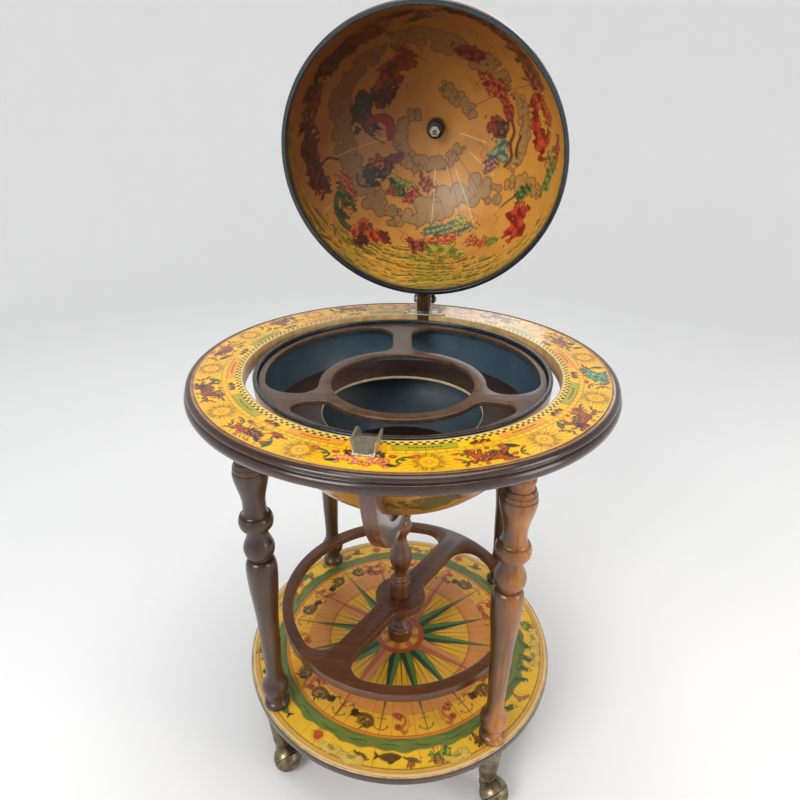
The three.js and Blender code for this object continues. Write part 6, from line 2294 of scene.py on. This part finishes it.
# ------------------------------------------------------------------ casters
BALL_TILT = 35.0  # of the ball's axis above the floor
BALL_OFFSET = 16.0  # from the swivel axis to the ball's centre
BALL_R = 22.0
BALL_Z = FLOOR_Z + BALL_R
NECK_Z = FLOOR_Z + 45  # underside of the ferrule
HOOD_GAP = 0.42  # from the ball's middle plane to the hood
# frame with Z along the ball's axis and its origin at the ball's centre
TO_BALL = shift(BALL_OFFSET, 0, BALL_Z) @ Vector((0, 0, 1)).rotation_difference(
    Vector((-math.cos(BALL_TILT * D), 0, math.sin(BALL_TILT * D)))).to_matrix().to_4x4()

# (r, z), with 1 at a sharp corner
FERRULE_PROFILE = [
    (0, 2.95, 1), (18.9, 2.95, 1), (19.9, 2.2), (20, 0.4), (19.2, -2.4), (18.2, -4.2, 1),
    (18.4, -5.4), (18.2, -8, 1), (17.6, -12), (15.6, -40), (13.4, -64, 1), (13.7, -65.4),
    (13.2, -67), (12.2, NECK_Z + 0.4, 1), (11.6, NECK_Z, 1), (4.5, NECK_Z, 1),
    (4.5, NECK_Z + 30, 1), (0, NECK_Z + 30),
]
HOOD_NECK_PROFILE = [
    (0, BALL_Z + 3, 1), (11.8, BALL_Z + 3, 1), (11.6, NECK_Z - 6), (11.9, NECK_Z - 3.2),
    (12.4, NECK_Z - 2.2), (12.4, NECK_Z - 1), (11.9, NECK_Z - 0.45, 1), (4, NECK_Z - 0.45, 1),
    (4, NECK_Z + 28, 1), (0, NECK_Z + 29),
]


def ball_mesh(profile, segments):
    """A profile turned about the ball's tilted axis."""
    mesh = turned_mesh(profile, segments)
    mesh.transform(TO_BALL)
    return mesh


def caster_hood():
    """The upper half of the ball, joined to its neck, with a hole for the axle."""
    radius = BALL_R - 0.2
    cap = [polar(radius, t * D) for t in np.linspace(1.2, 90, 26)[:-1]]
    half = ball_mesh([(0, HOOD_GAP), (radius - 0.6, HOOD_GAP), *cap, (0, radius)], 72)
    neck = turned_mesh(spline(HOOD_NECK_PROFILE, 1), 56)
    upper_side = box((-80, 80), (-80, 80), (HOOD_GAP, 160))
    upper_side.transform(TO_BALL)
    neck = combine([neck, upper_side], "INTERSECT")
    hood = combine([half, neck])
    start, end = (TO_BALL @ Vector((0, 0, z * MM)) for z in (-2, 12.6))
    hood = combine([hood, rod(start / MM, end / MM, 3.3, 20)], "DIFFERENCE")
    weld(hood, 1e-6, outward=False)
    return hood


def caster_wheel():
    """The lower half of the ball, with a shallow groove round it and a bore."""
    profile = [(0, -BALL_R)]
    for t in np.linspace(-90, -2.2, 40)[1:]:
        r, z = polar(BALL_R, t * D)
        profile.append((r * (1 - 0.018 * max(0.0, 1 - abs(z + 4.2) / 0.9)), z))
    profile += [(BALL_R - 0.9, -HOOD_GAP), (3.6, -HOOD_GAP), (3.6, -14.5), (0, -14.5)]
    return ball_mesh(profile, 96)


def casters():
    ferrule = spline(FERRULE_PROFILE, 1.6)
    hood = caster_hood()
    wheel = caster_wheel()
    axle = ball_mesh([(0, -13.8), (2.6, -13.8), (3, -13.4), (3, 11.6), (2.6, 12), (0, 12)], 28)
    for corner, angle in CORNERS.items():
        x, y = polar(LEG_CIRCLE, angle * D)
        place = shift(x, y) @ turn(-45, "Z")
        turned("caster_ferrule_" + corner, ferrule, "frame", BRONZE, 56, at=(x, y))
        for part, mesh, body, material, slot in (
            ("hood", hood, "swivel_", BRONZE, "bronze"),
            ("wheel", wheel, "wheel_", BRONZE, "bronze"),
            ("axle", axle, "swivel_", STEEL, "steel"),
        ):
            dress(f"caster_{part}_{corner}", mesh.copy(), body + corner, material, 40,
                  place)


# ------------------------------------------------------------------ stage, in metres
def write_sizes():
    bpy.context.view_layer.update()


def add_camera():
    camera = bpy.data.cameras.new("camera")
    camera.lens, camera.sensor_width = 27.0, 36.0
    camera.clip_end = 60
    obj = link_object("camera", camera)
    right = Vector((0.9864, 0.1642, 0.0080))
    ahead = Vector((-0.1441, 0.8871, -0.4385))
    right.normalize()
    ahead = (ahead - right * ahead.dot(right)).normalized()
    up = right.cross(ahead)
    obj.matrix_world = Matrix((
        (right.x, up.x, -ahead.x, 0.1176),
        (right.y, up.y, -ahead.y, -0.7452),
        (right.z, up.z, -ahead.z, 0.8329),
        (0, 0, 0, 1),
    ))
    bpy.context.scene.camera = obj


def add_floor():
    """A pale floor that curves up into a backdrop all round."""
    flat, cove = 2.6, 1.6
    profile = [(0, 0), (flat, 0)]
    profile += [(flat + cove * math.sin(t * D), cove - cove * math.cos(t * D))
                for t in range(10, 91, 10)]
    profile += [(4.2, 6.0), (4.25, 6.0), (4.25, -0.05), (0, -0.05)]
    verts, faces = revolve(profile, 96)
    mesh = bpy.data.meshes.new("floor")
    mesh.from_pydata([(x, y, z + FLOOR_Z * MM) for x, y, z in verts], [], faces)
    mesh.polygons.foreach_set("use_smooth", np.ones(len(mesh.polygons), bool))
    material = bpy.data.materials.new("floor")
    material.use_nodes = True
    shader = material.node_tree.nodes["Principled BSDF"].inputs
    shader["Base Color"].default_value = (0.84, 0.84, 0.84, 1)
    shader["Roughness"].default_value = 0.75
    shader["Specular IOR Level"].default_value = 0.1
    mesh.materials.append(material)
    link_object("floor", mesh)


def add_lamp(name, place, aim, size, power, color=(1, 1, 1)):
    light = bpy.data.lights.new(name, "AREA")
    light.shape = "RECTANGLE"
    light.size, light.size_y = size
    light.energy = power
    light.color = color
    obj = link_object(name, light)
    aim_back = (Vector(place) - Vector(aim)).to_track_quat("Z", "Y")
    obj.matrix_world = Matrix.Translation(Vector(place)) @ aim_back.to_matrix().to_4x4()
    obj.visible_camera = False


def add_lamps():
    add_lamp("key", place=(-1.3, -2.3, 2.05), aim=(0, 0, 0.45), size=(1.5, 1.5), power=52)
    add_lamp("window", place=(0.12, 2.6, 1.40), aim=(0.0, 0.2, 0.52), size=(0.58, 0.34),
             power=1.6, color=(0.86, 0.92, 1.0))
    add_lamp("side", place=(2.6, -0.8, 1.2), aim=(0, 0, 0.3), size=(1.0, 1.8), power=24,
             color=(1.0, 0.94, 0.86))
    add_lamp("top", place=(0.2, 0.0, 3.6), aim=(0, 0, 0), size=(2.5, 2.5), power=58)


def add_world():
    world = bpy.data.worlds.new("world")
    world.use_nodes = True
    background = world.node_tree.nodes["Background"].inputs
    background["Color"].default_value = (0.95, 0.97, 1.0, 1)
    background["Strength"].default_value = 0.46
    bpy.context.scene.world = world
    bpy.context.scene.view_settings.view_transform = "Standard"


# ------------------------------------------------------------------ build
horizon_board()
horizon_edging()
horizon_print()
horizon_moulding()
legs()
shelf()
post()
bottle_ring()
lower_arc()
arc_screws()
bowl_pivot()
bowl_shell()
bowl_fittings()
bottle_tray()
upper_arc()
pole_fittings()
dome()
hinge_bracket()
hinge_bolt_and_nut()
hinge_screws()
latch_clip()
clip_nails()
casters()
write_sizes()
add_camera()
add_floor()
add_lamps()
add_world()
